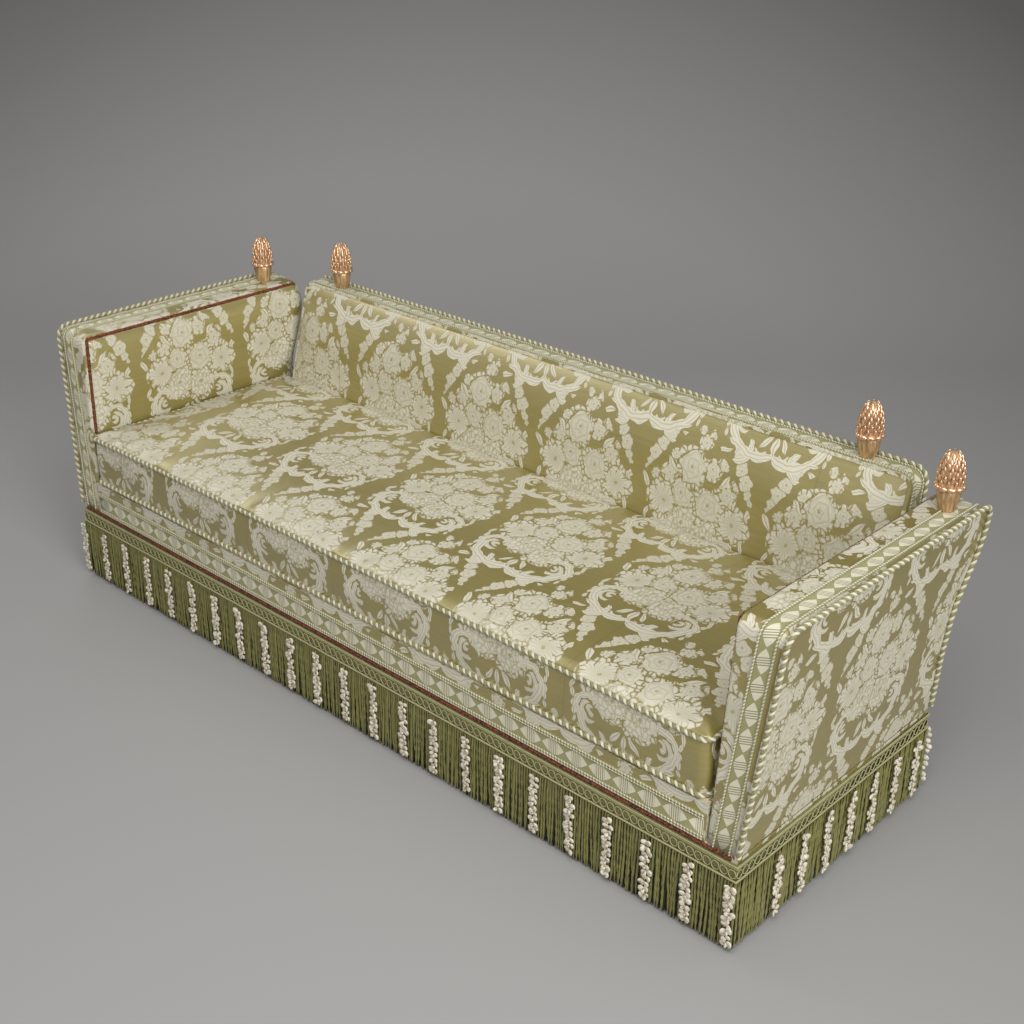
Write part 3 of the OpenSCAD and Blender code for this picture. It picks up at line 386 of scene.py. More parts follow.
def damask_group():
    """Look and height of the damask at a place on the cloth, in metres."""
    tree = bpy.data.node_groups.new("damask", "ShaderNodeTree")
    tree.interface.new_socket(name="Place", in_out="INPUT", socket_type="NodeSocketVector")
    for label in ("Color", "Roughness", "Metallic", "Coat Weight", "Height"):
        kind = "NodeSocketColor" if label == "Color" else "NodeSocketFloat"
        tree.interface.new_socket(name=label, in_out="OUTPUT", socket_type=kind)
    net = Net(tree)
    cloth = net.node("NodeGroupInput").outputs["Place"]
    leave = net.node("NodeGroupOutput")
    u, v = net.parts(cloth)[:2]
    u = u + (net.noise(cloth, 26.0, 0.6) - 0.5) * DRAWING_WANDER
    v = v + (net.noise(cloth, 31.0, 0.6) - 0.5) * DRAWING_WANDER
    first_u, other_u = [(net.fract(u / REPEAT_W + shift) - 0.5) * REPEAT_W for shift in (0.0, 0.5)]
    first_v, other_v = [(net.fract(v / REPEAT_H + shift) - 0.5) * REPEAT_H for shift in (0.0, 0.5)]
    swing = net.sin((first_v + WIDE_LEVEL) * (2 * math.pi / REPEAT_H) + math.pi / 2)
    room = REPEAT_W / 4 + REPEAT_W / 4 * net.least(net.most(swing * 1.15, -1.0), 1.0)
    second_column = net.under(room, net.abs(first_u))
    x = net.choose(first_u, other_u, second_column)
    y = net.choose(first_v, other_v, second_column)
    place = net.pair(x, y)
    half = net.pair(net.abs(x - MIRROR_X), y)

    blossoms = net.cells(place, BLOSSOM_CELLS)
    cover, line = flower_mask(net, place, blossoms, FLOWERS, True)
    marks = [leaf_mask(net, half, *leaf) for leaf in LEAVES]
    marks += [arc_mask(net, half, *arc) for arc in ARCS]
    marks.append(flower_mask(net, half, blossoms, STRING, False))
    for mark, detail in marks:
        behind = mark * (1.0 - cover)
        line = line * cover + detail * behind
        cover = net.most(cover, mark)

    threads = net.noise(net.vector("MULTIPLY", cloth, (1.0, 16.0, 1.0)), 210.0, 2.0)
    streaks = net.noise(net.vector("MULTIPLY", cloth, (1.0, 14.0, 1.0)), 9.0, 3.0)
    ground = net.tint(GROUND_DEEP, GROUND, net.ramp(threads * 0.5 + streaks * 0.5, 0.30, 0.70))
    hatch = net.ramp(threads, 0.35, 0.75) * 0.16
    figure = net.tint(FIGURE, FIGURE_LINE, net.least(line * 0.80 + hatch, 1.0))
    bare = 1.0 - cover
    results = {
        "Color": net.tint(ground, figure, cover),
        "Roughness": net.choose(GROUND_ROUGH, FIGURE_ROUGH, cover),
        "Metallic": bare * GROUND_SHEEN,
        "Coat Weight": bare * GROUND_GLAZE,
        "Height": cover * (1.0 - line * 0.4) + threads * 0.35,
    }
    for label, value in results.items():
        net.put(leave.inputs[label], value)
    return tree


def material(name, roughness=0.6, **values):
    """A new material, as (material, net, Principled node)."""
    made = bpy.data.materials.new(name)
    made.use_nodes = True
    net = Net(made.node_tree)
    shader = made.node_tree.nodes["Principled BSDF"]
    net.fill(shader, Roughness=roughness, **values)
    return made, net, shader


def bump(net, shader, height, distance, strength=1.0):
    node = net.node("ShaderNodeBump")
    net.fill(node, Strength=strength, Distance=distance, Height=height)
    net.fill(shader, Normal=node.outputs[0])


def dye(net, shader, dark, light, share):
    """Base colour between a dark and a light one."""
    net.put(shader.inputs["Base Color"], net.tint((*dark, 1.0), (*light, 1.0), share))


def damask_material(name, tree, place, seams=()):
    """Damask at the place that a function gives, with straight seams across the sofa's length."""
    made, net, shader = material(name, Specular_IOR_Level=0.6, Coat_IOR=2.2, Coat_Roughness=0.38)
    pattern = net.node("ShaderNodeGroup", node_tree=tree)
    net.put(pattern.inputs["Place"], place(net))
    colour, height = pattern.outputs["Color"], Num(net, pattern.outputs["Height"])
    if seams:
        x = net.parts(net.spot())[0]
        gap = net.abs(x - seams[0])
        for seam in seams[1:]:
            gap = net.least(gap, net.abs(x - seam))
        sewn = 1.0 - net.ramp(gap, 0.0004, 0.0016)
        colour = net.tint(colour, SEAM_SHADE, sewn * 0.4)
        height = height - 1.0 + net.ramp(gap, 0.0, 0.005)
    net.put(shader.inputs["Base Color"], colour)
    for label in ("Roughness", "Metallic", "Coat Weight"):
        net.put(shader.inputs[label], pattern.outputs[label])
    bump(net, shader, height, 0.0005, 0.6)
    return made


def cloth_place(net):
    return net.node("ShaderNodeUVMap", uv_map="cloth").outputs[0]


def board_place(net):
    """Flat covers: the pattern lies in the plane that a face turns to most."""
    x, y, z = net.parts(net.spot())
    facing = net.node("ShaderNodeNewGeometry").outputs["True Normal"]
    frames = {"vector_type": "NORMAL", "convert_from": "WORLD", "convert_to": "OBJECT"}
    turned = net.node("ShaderNodeVectorTransform", facing, **frames).outputs[0]
    nx, ny, nz = [net.abs(n) for n in net.parts(turned)]
    sideways = net.under(net.most(ny, nz), nx)
    upward = net.under(net.most(nx, ny), nz)
    u = net.choose(x + (REPEAT_W / 2 - COLUMN_X), y + (REPEAT_W / 2 - ARM_COLUMN_Y + MID_Y), sideways)
    return net.pair(u, net.choose(z + (REPEAT_H / 2 - ARM_BOUQUET_Z), y, upward))


def plain(name, colour, roughness, grain=None, distance=0.0005, **values):
    """One colour, darkened and raised by noise; grain is (scale, share, stretch along x, y, z)."""
    made, net, shader = material(name, roughness, **values)
    shader.inputs["Base Color"].default_value = (*colour, 1.0)
    if grain:
        scale, share, stretch = grain
        field = net.noise(net.vector("MULTIPLY", net.spot(), stretch), scale, 3.0)
        dark = [c * (1 - share) for c in colour]
        dye(net, shader, dark, colour, net.ramp(field, 0.3, 0.7))
        bump(net, shader, field, distance)
    return made


# Woven galloon: lens shapes with slanted lines; s runs along it and t across, both in metres
GALLOON_CREAM = (0.70, 0.66, 0.50, 1.0)
GALLOON_GREEN = (0.345, 0.330, 0.150, 1.0)
GALLOON_LINE = (0.25, 0.23, 0.10, 1.0)
LINE_PITCH = 0.0056


def galloon_material(name, pitch, wide, lines, lean):
    """Lenses of a pitch and a half width; their lines lean, and cover a length at the middle."""
    made, net, shader = material(name, 0.62, Sheen_Weight=0.1)
    s, t = net.parts(cloth_place(net))[:2]
    cell = net.fract(s / pitch) - 0.5
    lens = 1.0 - (net.abs(cell) * 2.06) ** 1.7 - net.abs(t) / wide * 1.02
    cover = net.ramp(lens, 0.0, 0.05)
    slant = cell * pitch + t * lean
    stripe = net.abs(net.fract(slant / LINE_PITCH) - 0.5) * 2.0
    banded = net.ramp(lines - net.abs(slant), 0.0, 0.0006)
    line = (1.0 - net.ramp(stripe, 0.28, 0.55)) * banded
    edge = 1.0 - net.ramp(net.abs(lens), 0.02, 0.07)
    rib = net.abs(net.sin(s * 2400.0))
    body = net.tint(GALLOON_CREAM, GALLOON_LINE, net.least(line * 0.9 + edge * 0.5, 1.0))
    ground = net.tint(GALLOON_GREEN, GALLOON_LINE, rib * 0.35)
    net.put(shader.inputs["Base Color"], net.tint(ground, body, cover))
    bump(net, shader, cover + rib * 0.2 - line * 0.5, 0.0012, 0.8)
    return made


def thread_material(name, light, dark, scale, roughness=0.55):
    """Silk or cotton yarn: fine slanted threads from the strand's own UV."""
    made, net, shader = material(name, roughness, Sheen_Weight=0.15)
    s, t = net.parts(cloth_place(net))[:2]
    yarn = net.abs(net.sin(s * scale + t * 6.0))
    patch = net.noise(net.pair(s * 30.0, t), 1.0, 2.0)
    dye(net, shader, dark, light, net.least(yarn * 0.55 + patch * 0.6, 1.0))
    bump(net, shader, yarn, 0.0004, 0.6)
    return made


# Meshes: patches are gathered in a Shape, which becomes one finished piece
class Shape:
    def __init__(self):
        self.points = []
        self.faces = []
        self.looks = []
        self.cloth = []
        self.count = 0

    def add(self, points, faces, cloth, look=0):
        """Points and their places on the cloth are (n, 3) and (n, 2); faces hold indexes."""
        self.points.append(np.asarray(points, dtype=float))
        self.faces += [tuple(int(i) + self.count for i in face) for face in faces]
        self.cloth.append(np.asarray(cloth, dtype=float))
        self.looks += [look] * len(faces)
        self.count += len(points)

    def grid(self, points, cloth, look=0, round_rows=False, round_cols=False):
        """A patch of rows and columns of points, closed on itself where asked."""
        rows, cols = points.shape[:2]
        index = np.arange(rows * cols).reshape(rows, cols)
        down = np.roll(index, -1, axis=0) if round_rows else index[1:]
        top = index if round_rows else index[:-1]
        if round_cols:
            quads = np.stack([top, np.roll(top, -1, axis=1), np.roll(down, -1, axis=1), down], axis=-1)
        else:
            quads = np.stack([top[:, :-1], top[:, 1:], down[:, 1:], down[:, :-1]], axis=-1)
        self.add(points.reshape(-1, 3), quads.reshape(-1, 4), cloth.reshape(-1, 2), look)


def piece(name, shape, body, node, looks, sign=1, at=(0, 0, 0), merge=1e-5):
    """Makes the finished object that stands for a CAD node; sign -1 mirrors it across the middle."""
    points = (np.concatenate(shape.points) + at) * (sign, 1, 1) - (0, MID_Y, 0)
    mesh = bpy.data.meshes.new(name)
    mesh.from_pydata(points.tolist(), [], shape.faces)
    for look in looks:
        mesh.materials.append(look)
    mesh.polygons.foreach_set("material_index", shape.looks)
    mesh.polygons.foreach_set("use_smooth", [True] * len(shape.faces))
    layer = mesh.uv_layers.new(name="cloth")
    corners = np.zeros(len(mesh.loops), dtype=np.int32)
    mesh.loops.foreach_get("vertex_index", corners)
    layer.data.foreach_set("uv", np.concatenate(shape.cloth)[corners].ravel())
    if merge:
        work = bmesh.new()
        work.from_mesh(mesh)
        bmesh.ops.remove_doubles(work, verts=work.verts, dist=merge)
        bmesh.ops.recalc_face_normals(work, faces=work.faces)
        work.to_mesh(mesh)
        work.free()
    mesh.update()
    made = bpy.data.objects.new(name, mesh)
    bpy.context.scene.collection.objects.link(made)
    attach(made, body)
    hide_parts(node)
    return made


def unit(vectors):
    """Vectors scaled to a length of 1."""
    return vectors / np.linalg.norm(vectors, axis=-1, keepdims=True)


def joined(*parts):
    """Points from their coordinates, one array or number for each axis."""
    return np.stack(np.broadcast_arrays(*parts), axis=-1)


def distances(path):
    """Length along a polyline from its start to each of its points."""
    return np.concatenate([[0], np.cumsum(np.linalg.norm(np.diff(path, axis=0), axis=1))])


def quarter(count):
    """Sine and cosine of evenly spaced angles from 0 to a right angle."""
    return [(math.sin(a), math.cos(a)) for a in np.linspace(0, math.pi / 2, count)]


def resample(path, step):
    """Evenly spaced points along a polyline, and their distances from its start."""
    path = np.asarray(path, dtype=float)
    lengths = distances(path)
    count = max(2, int(round(lengths[-1] / step)) + 1)
    at = np.linspace(0, lengths[-1], count)
    return np.stack([np.interp(at, lengths, path[:, k]) for k in range(3)], axis=1), at


def frames_along(path, up):
    """Directions across and over at each point of a path."""
    ahead = unit(np.gradient(path, axis=0))
    across = unit(np.cross(up, ahead))
    return across, np.cross(ahead, across)


def rings_along(path, up, a, radius):
    """A ring of points at the angles a around each point of a path."""
    across, over = frames_along(path, up)
    ring = np.cos(a)[None, :, None] * across[:, None] + np.sin(a)[None, :, None] * over[:, None]
    return path[:, None] + radius * ring


def close_ends(shape, points, cloth, look=0):
    """Flat ends for a grid of closed rings."""
    count = points.shape[1]
    for row, order in ((0, -1), (-1, 1)):
        shape.add(points[row], [np.arange(count)[::order]], cloth[row], look)


def tube(shape, path, radius, up, sides, look):
    """A round tube along a path."""
    a = np.arange(sides + 1) * 2 * math.pi / sides
    points = rings_along(path, up, a, radius)
    cloth = joined(distances(path)[:, None], a / (2 * math.pi))
    shape.grid(points, cloth, look)
    close_ends(shape, points[:, :sides], cloth[:, :sides], look)


def rope(shape, path, d, pitch, up, looks, sides=5, per_turn=8):
    """Two strands twisted around each other along a path."""
    path, along = resample(path, pitch / per_turn)
    across, over = frames_along(path, up)
    strand = d * 0.29
    for k, look in enumerate(looks):
        a = along / pitch * 2 * math.pi + k * 2 * math.pi / len(looks)
        offset = (d / 2 - strand) * (np.cos(a)[:, None] * across + np.sin(a)[:, None] * over)
        tube(shape, path + offset, strand, up, sides, look)


def arm_outline(inset, low_front, low_rear, front_r=None):
    """Front, top and rear edge of an arm as (y, z), from a height in front to a height behind."""
    r = front_r or ARM_FRONT_R - inset
    z = ARM_TOP - inset - r
    points = [(arm_front_y(h) + inset, h) for h in np.linspace(low_front, z, 12, endpoint=False)]
    centre = arm_front_y(z) + inset + r
    points += [(centre - r * cosine, z + r * sine) for sine, cosine in quarter(8)]
    r = ARM_REAR_R - inset
    z = ARM_TOP - ARM_REAR_R
    centre = arm_rear_y(z) - ARM_REAR_R
    points += [(centre + r * sine, z + r * cosine) for sine, cosine in quarter(8)]
    points += [(arm_rear_y(h) - inset, h) for h in np.linspace(z, low_rear, 40)[1:]]
    return np.array(points)


def back_outline(inset, low):
    """End, top and end of the back as (x, z)."""
    r = BACK_CORNER_R - inset
    x = BACK_HALF_W - BACK_CORNER_R
    z = BACK_TOP - BACK_CORNER_R
    right = [(BACK_HALF_W - inset, low)]
    right += [(x + r * cosine, z + r * sine) for sine, cosine in quarter(10)]
    return np.array(right + [(-px, pz) for px, pz in reversed(right)])


def outward(outline, flat_axis):
    """Unit normals to the left of an outline, in its own plane, as 3D vectors."""
    step = unit(np.gradient(outline, axis=0))
    normal = np.stack([-step[:, 1], step[:, 0]], axis=1)
    return np.insert(normal, flat_axis, 0.0, axis=1)


def closed_strip(shape, rows, cloth):
    """A strip whose rows of points run round its section, with flat ends."""
    rows, cloth = np.array(rows), np.array(cloth)
    shape.grid(rows, cloth, round_rows=True)
    for k in (0, -1):
        shape.add(rows[:, k], [range(len(rows))], cloth[:, k])


def box(shape, ring, low, high, look):
    """An upright box over a ring of four corners."""
    corners = [(*corner, z) for z in (low, high) for corner in ring]
    quads = [(0, 1, 2, 3), (7, 6, 5, 4), (3, 2, 6, 7), (1, 0, 4, 5), (0, 3, 7, 4), (2, 1, 5, 6)]
    shape.add(corners, quads, np.zeros((8, 2)), look)


# Padded pieces
def rounded(x, y, half_x, half_y, r):
    """Squeezes the corners of a rectangle into arcs."""
    a = np.clip(np.abs(x) - (half_x - r), 0, r)
    b = np.clip(np.abs(y) - (half_y - r), 0, r)
    cut_a = a - a * np.sqrt(1 - b * b / (2 * r * r))
    cut_b = b - b * np.sqrt(1 - a * a / (2 * r * r))
    return x - np.sign(x) * cut_a, y - np.sign(y) * cut_b


CUSHION_CROWN = 0.026
CUSHION_DRAW = 0.005
CUSHION_CORNER = 0.018
CUSHION_FRONT = 0.003
CUSHION_BULGE = 0.006
CUSHION_REAR_GAP = 0.0015
CUSHION_HALF_X = SEAT_HALF_W - CORD_D
CUSHION_HALF_Y = (back_front_y(CUSHION_TOP) - CUSHION_REAR_GAP - CUSHION_FRONT) / 2
CUSHION_MID_Y = CUSHION_FRONT + CUSHION_HALF_Y


def drawn_in(x, y):
    """The cushion's edges pulled in between its corners; y is counted from its middle."""
    u, v = x / CUSHION_HALF_X, y / CUSHION_HALF_Y
    pull_x = CUSHION_DRAW * u * np.maximum(0, 1 - v * v)
    pull_y = CUSHION_DRAW * v * np.maximum(0, 1 - u * u)
    return x - pull_x, y - pull_y + CUSHION_MID_Y


def cushion_place(points, drop):
    """Where the cushion's points lie on the cloth; the pattern runs on over the front edge."""
    u = points[..., 0] + REPEAT_W / 2 - COLUMN_X
    v = points[..., 1] + REPEAT_H / 2 - SEAT_BOUQUET_Y - drop
    return joined(u, v)


def cushion_layer(height):
    """Points of the cushion's outline filled in, at heights that a function gives."""
    x = np.linspace(-CUSHION_HALF_X, CUSHION_HALF_X, 240)
    y = CUSHION_HALF_Y * np.sin(np.linspace(-math.pi / 2, math.pi / 2, 72))
    x, y = np.broadcast_arrays(x, y[:, None])
    px, py = rounded(x, y, CUSHION_HALF_X, CUSHION_HALF_Y, CUSHION_CORNER)
    u, v = CUSHION_HALF_X - np.abs(x), CUSHION_HALF_Y - np.abs(y)
    px, py = drawn_in(px, py)
    return joined(px, py, height(px, py - CUSHION_MID_Y, u, v))


def swell_share(s):
    """Rise of a stuffed form from its seam, a tight roll easing into a broad one."""
    s = np.clip(s, 0, 1)
    return 0.35 * np.sqrt(s * (2 - s)) + 0.65 * s * (2 - s)


def cushion_crown(px, py, u, v):
    """Crown with pinch wrinkles along the piping and soft hollows inside."""
    near = np.minimum(u, v)
    rise = CUSHION_CROWN * swell_share(near / 0.28)
    rise += 0.004 * np.sqrt(np.clip(near / 0.02, 0, 1)) * np.exp(-(near / 0.09) ** 2)
    folds = np.sin(px * 71 + 2.4 * np.sin(px * 13)) * np.exp(-(v / 0.055) ** 2)
    folds += np.sin(py * 77 + 2.4 * np.sin(py * 17)) * np.exp(-(u / 0.055) ** 2)
    corner = np.exp(-((u - 0.035) ** 2 + (v - 0.035) ** 2) / 0.0040)
    fan = np.sin(8 * np.arctan2(v + 0.01, u + 0.01) + 0.6) * corner * np.clip(near / 0.03, 0, 1)
    sag = np.sin(px * 5.1 + 0.6) * np.sin(py * 8.0 + 0.4) * np.clip(near / 0.1, 0, 1)
    inside = np.clip(near / 0.010, 0, 1)
    return CUSHION_TOP + rise + (0.0020 * folds + 0.0046 * fan + 0.0026 * sag) * inside


def cushion_shape():
    """Top, bottom and softly bulging sides of the seat cushion."""
    thick = CUSHION_TOP - DECK_TOP
    shape = Shape()
    top = cushion_layer(cushion_crown)
    bottom = cushion_layer(lambda px, py, u, v: DECK_TOP)
    shape.grid(top, cushion_place(top, 0))
    shape.grid(bottom[:, ::-1], cushion_place(bottom[:, ::-1], thick))
    high, low = edge_loop(top), edge_loop(bottom)
    out = joined(np.gradient(high[:, 1]), -np.gradient(high[:, 0]), 0.0)
    out /= np.linalg.norm(out, axis=1)[:, None] + 1e-9
    along = distances(high)
    start = REPEAT_W / 2 - COLUMN_X + high[0, 0]
    rows, cloth = [], []
    for t in np.linspace(0, 1, 18):
        round_side = math.sin(math.pi * t) ** 0.7
        ripple = 0.0012 * np.sin(along * 29 + 3 * t) + 0.0010 * np.sin(along * 67 - 5 * t)
        rows.append(mix(low, high, t) + out * ((CUSHION_BULGE + ripple) * round_side)[:, None])
        v = REPEAT_H / 2 - SEAT_BOUQUET_Y + CUSHION_FRONT - (1 - t) * thick
        cloth.append(joined(along + start, v))
    shape.grid(np.array(rows), np.array(cloth))
    return shape


def edge_loop(a):
    """The rim of a grid of points, from its first corner and back to it."""
    return np.concatenate([a[0], a[1:, -1], a[-1, -2::-1], a[-2:0:-1, 0], a[:1, 0]])


def closed_form(face, board, cloth):
    """A swelling face joined to the flat board behind it."""
    shape = Shape()
    shape.grid(face, cloth)
    shape.grid(board[:, ::-1], cloth[:, ::-1])
    rim = edge_loop(cloth)
    shape.grid(np.array([edge_loop(board), edge_loop(face)]), np.array([rim, rim]))
    return shape


PAD_INSET = BORDER_T + 0.0006
PAD_PUFF = 0.008
PAD_ROLL = 0.034
PAD_FLAT = 0.010
ARM_SWELL = 0.010
REAR_BULGE = 0.022
REAR_PLUMP = 0.013
BACK_SWELL = 0.028
BACK_ROLL = 3.2 * BACK_CORNER_R
# Where the pads' flat boards lie, from the arm's inner face and from the back's rear face
ARM_BOARD = 0.0255
BACK_BOARD = 0.0451
# The cloth's height over its length along the raked back
BACK_ARC_SHARE = 0.967


def corner_reach(z, top, r):
    """How far a pad reaches into a rounded top corner at a height."""
    r_pad = r - PAD_INSET
    h = np.clip(z - (top - r), 0, r_pad)
    return math.sqrt(max(r_pad ** 2 - h * h, 0))


def arm_pad_shape():
    """Stuffed inner face of the right arm."""
    low = CUSHION_TOP
    turn = ARM_TOP - ARM_REAR_R
    bend = (ARM_REAR_R - PAD_INSET) * np.sin(np.linspace(0, math.pi / 2, 12))[1:]
    s = (1 - np.cos(np.linspace(0, math.pi, 60))) / 2
    rows, cloth = [], []
    for z in [*np.linspace(BASE_TOP + GAP, turn, 60), *(turn + bend)]:
        below = ARM_TOP - BORDER_T - z
        rear = smooth((z - low + 0.08) / 0.08) * swell_share(below / 0.07)
        y0 = arm_front_y(z) + ARM_FRONT_R - corner_reach(z, ARM_TOP, ARM_FRONT_R)
        y1 = arm_rear_y(min(z, turn)) - ARM_REAR_R + corner_reach(z, ARM_TOP, ARM_REAR_R)
        y1 += REAR_BULGE * rear
        y = mix(y0, y1, s)
        plump = swell_share((y1 - y) / 0.016) * smooth((y - y1 + 0.09) / 0.06)
        plump *= REAR_PLUMP * rear * smooth((z - low) / 0.10)
        near_top = swell_share(below / (4 * ARM_FRONT_R))
        up = smooth((z - low) / (ARM_TOP - low - 1.5 * ARM_FRONT_R))
        swell = ARM_SWELL * up * near_top * (1 - np.abs(2 * s - 1) ** 5)
        edge = np.minimum(y - y0, y1 - y)
        near = np.clip((np.minimum(edge, ARM_TOP - PAD_INSET - z) - PAD_FLAT) / PAD_ROLL, 0, 1)
        puff = PAD_PUFF * np.sqrt(1 - (1 - near) ** 2) * smooth((z - low + 0.06) / 0.06)
        soft = 0.0012 * np.sin(y * 19 + 5 * z) * np.sin(z * 31) * near * up
        rows.append(joined(inner_x(z) - swell - puff - plump - np.abs(soft), y, z))
        cloth.append(joined(y + REPEAT_W / 2 - PAD_COLUMN_Y, z + REPEAT_H / 2 - PAD_BOUQUET_Z))
    face = np.array(rows)
    board = face.copy()
    board[..., 0] = inner_x(face[..., 2]) + ARM_BOARD
    return closed_form(face, board, np.array(cloth))


def back_pad_shape():
    """Stuffed front of the back, with a roll under its top edge and at its ends."""
    top = BACK_TOP - PAD_INSET
    bend = 0.2 * np.sin(np.linspace(0, math.pi / 2, 26))
    t = np.concatenate([np.linspace(0, 0.8, 24, endpoint=False), 0.8 + bend])
    s = np.sin(np.linspace(-math.pi / 2, math.pi / 2, 180))
    s = np.sign(s) * np.abs(s) ** 0.75
    middle = len(s) // 2
    rows, cloth = [], []
    arc = 0.0
    for z in mix(DECK_TOP, top, t):
        x = s * (BACK_HALF_W - BACK_CORNER_R + corner_reach(z, BACK_TOP, BACK_CORNER_R))
        up = smooth((z - CUSHION_TOP) / (top - CUSHION_TOP - BACK_ROLL))
        up = up * swell_share((top - z) / BACK_ROLL)
        soft = 0.0016 * np.sin(x * 7.0) * np.sin(z * 21) + 0.0012 * np.sin(x * 23 + 9 * z)
        y = back_front_y(z) - BACK_SWELL * up * (1 - np.abs(s) ** 24) - np.abs(soft) * up
        if rows:
            arc += math.dist((y[middle], z), rows[-1][middle, 1:])
        rows.append(joined(x, y, z))
        v = DECK_TOP + arc * BACK_ARC_SHARE - BACK_BOUQUET_Z
        cloth.append(joined(x + REPEAT_W / 2 - COLUMN_X, v))
    face = np.array(rows)[:, ::-1]
    board = face.copy()
    board[..., 1] = back_rear_y(face[..., 2]) - BACK_BOARD
    return closed_form(face, board, np.array(cloth)[:, ::-1])


# Trimmings
ROPE_STAND = ROPE_D / 2 * math.sin(math.pi / 4)
ROPE_LOW = BASE_TOP + ROPE_D / 2
BEAD_D = 0.0056
BEAD_PITCH = 0.0085
GALLOON_T = 0.0010
BORDER_ROLL = 0.009
GIMP_INSET = 0.0105
GIMP_D = 0.0112
FRONT_GIMP_D = 0.0098
FRONT_GIMP_Z = 0.2325
FRONT_GIMP_END = HALF_W - 0.013


def arm_cord_shape():
    """Twisted cord along the outer edge of an arm."""
    shape = Shape()
    path = [(outer_x(z) + ROPE_STAND, y, z) for y, z in arm_outline(-ROPE_STAND, ROPE_LOW, ROPE_LOW)]
    rope(shape, path, ROPE_D, ROPE_PITCH, (1, 0, 0), (0, 1))
    return shape


def back_cord_shape():
    """Twisted cord along the rear edge of the back."""
    shape = Shape()
    path = [(x, back_rear_y(z) + ROPE_STAND, z) for x, z in back_outline(-ROPE_STAND, ROPE_LOW)]
    rope(shape, path, ROPE_D, ROPE_PITCH, (0, 1, 0), (0, 1))
    return shape


def cushion_cords_shape():
    """Piping along the ends and the front of the cushion, above and below."""
    shape = Shape()
    stand = CORD_D / 2 + 0.0008
    r = CUSHION_CORNER + stand
    mid_x, mid_y = CUSHION_HALF_X - CUSHION_CORNER, CUSHION_FRONT + CUSHION_CORNER
    for z in (DECK_TOP + ROPE_D / 2, CUSHION_TOP - CORD_D / 2):
        rear = back_front_y(z) - ROPE_D
        points = [(CUSHION_HALF_X + stand, y) for y in np.linspace(rear, mid_y, 24, endpoint=False)]
        points += [(mid_x + r * cosine, mid_y - r * sine) for sine, cosine in quarter(8)]
        points += [(x, CUSHION_FRONT - stand) for x in np.linspace(mid_x, 0, 20)[1:]]
        points += [(-x, y) for x, y in reversed(points[:-1])]
        x, y = np.array(points).T
        path = joined(*drawn_in(x, y - CUSHION_MID_Y), z)
        rope(shape, path, ROPE_D, ROPE_PITCH, (0, 0, 1), (0, 1))
    return shape


def woven_strip(line, edges, ropes, out, up):
    """Galloon between two edges, with fine ropes on it; line gives the points of each by its place."""
    shape = Shape()
    edge_a, edge_b = line(edges[0]), line(edges[1])
    along = distances((edge_a + edge_b) / 2)
    wide = np.linalg.norm(edge_b - edge_a, axis=1)
    shares = np.linspace(0, 1, 7)
    raised = [mix(edge_a, edge_b, share) + out * GALLOON_T for share in shares]
    cloth = [joined(along, (share - 0.5) * wide) for share in (0, *shares, 1)]
    closed_strip(shape, [edge_a, *raised, edge_b], cloth)
    for place in ropes:
        path = line(place) + out * BEAD_D * 0.45
        rope(shape, path, BEAD_D, BEAD_PITCH, up, (1, 2), sides=4, per_turn=6)
    return shape


def arm_galloon_shape():
    """Galloon on the front, top and upper rear of an arm, edged by two beaded ropes."""
    outline = arm_outline(0.0, BASE_TOP + GAP, ARM_TOP - 2 * ARM_REAR_R)
    y, z = outline.T
    edges = (GALLOON_INSET, GALLOON_INSET + GALLOON_W)
    ropes = (edges[0] + BEAD_D / 2, edges[1] - BEAD_D / 2)
    line = lambda inset: joined(outer_x(z) - inset, y, z)
    return woven_strip(line, edges, ropes, outward(outline, 0), (1, 0, 0))


def back_galloon_shape():
    """Galloon on the ends and the top of the back, with three beaded ropes."""
    outline = back_outline(0.0, CUSHION_TOP)
    x, z = outline.T
    edges = (BACK_TOP_T - CORD_D / 2, CORD_D / 2)
    ropes = (edges[1] + BEAD_D / 2, edges[0] - BEAD_D / 2, edges[0] - 1.6 * BEAD_D)
    line = lambda inset: joined(x, back_rear_y(z) - inset, z)
    return woven_strip(line, edges, ropes, -outward(outline, 1), (0, 1, 0))


def front_galloon_shape():
    """Wide galloon above the fringe, with two beaded ropes at each edge."""
    low, high = BASE_TOP + GAP, BASE_TOP + 0.0645
    x = np.linspace(GAP - SEAT_HALF_W, SEAT_HALF_W - GAP, 40)
    ropes = (low + BEAD_D / 2, low + 0.009, high - BEAD_D / 2, high - 0.009)
    out = np.tile((0.0, -1.0, 0.0), (len(x), 1))
    return woven_strip(lambda z: joined(x, 0.0, z), (low, high), ropes, out, (0, 0, 1))


def chenille(path, wide, seed, up):
    """A round fuzzy cord: rings of tufts of uneven length."""
    shape = Shape()
    rng = np.random.default_rng(seed)
    path, along = resample(path, 0.0020)
    a = np.arange(9) * 2 * math.pi / 9
    braid = 1 + 0.16 * np.sin(along[:, None] * 780 + 2 * a)
    tuft = wide / 2 * braid * rng.uniform(0.72, 1.10, braid.shape)
    points = rings_along(path, up, a, tuft[..., None])
    cloth = joined(along[:, None], a / (2 * math.pi) * wide)
    shape.grid(points, cloth, round_cols=True)
    close_ends(shape, points, cloth)
    return shape


def arm_gimp_shape():
    """Red gimp over the seam between an arm's strip and its stuffing; it turns its corner sharply."""
    outline = arm_outline(GIMP_INSET, CUSHION_TOP, CUSHION_TOP, front_r=0.006)
    reach = arm_rear_y(ARM_TOP) - ARM_REAR_R * 0.6
    rear = next(k for k, (y, z) in enumerate(outline) if y > reach)
    path = [(inner_x(z) + 0.0008, y + 0.003, z) for y, z in outline[:rear]]
    return chenille(path, GIMP_D, 4, (1, 0, 0))


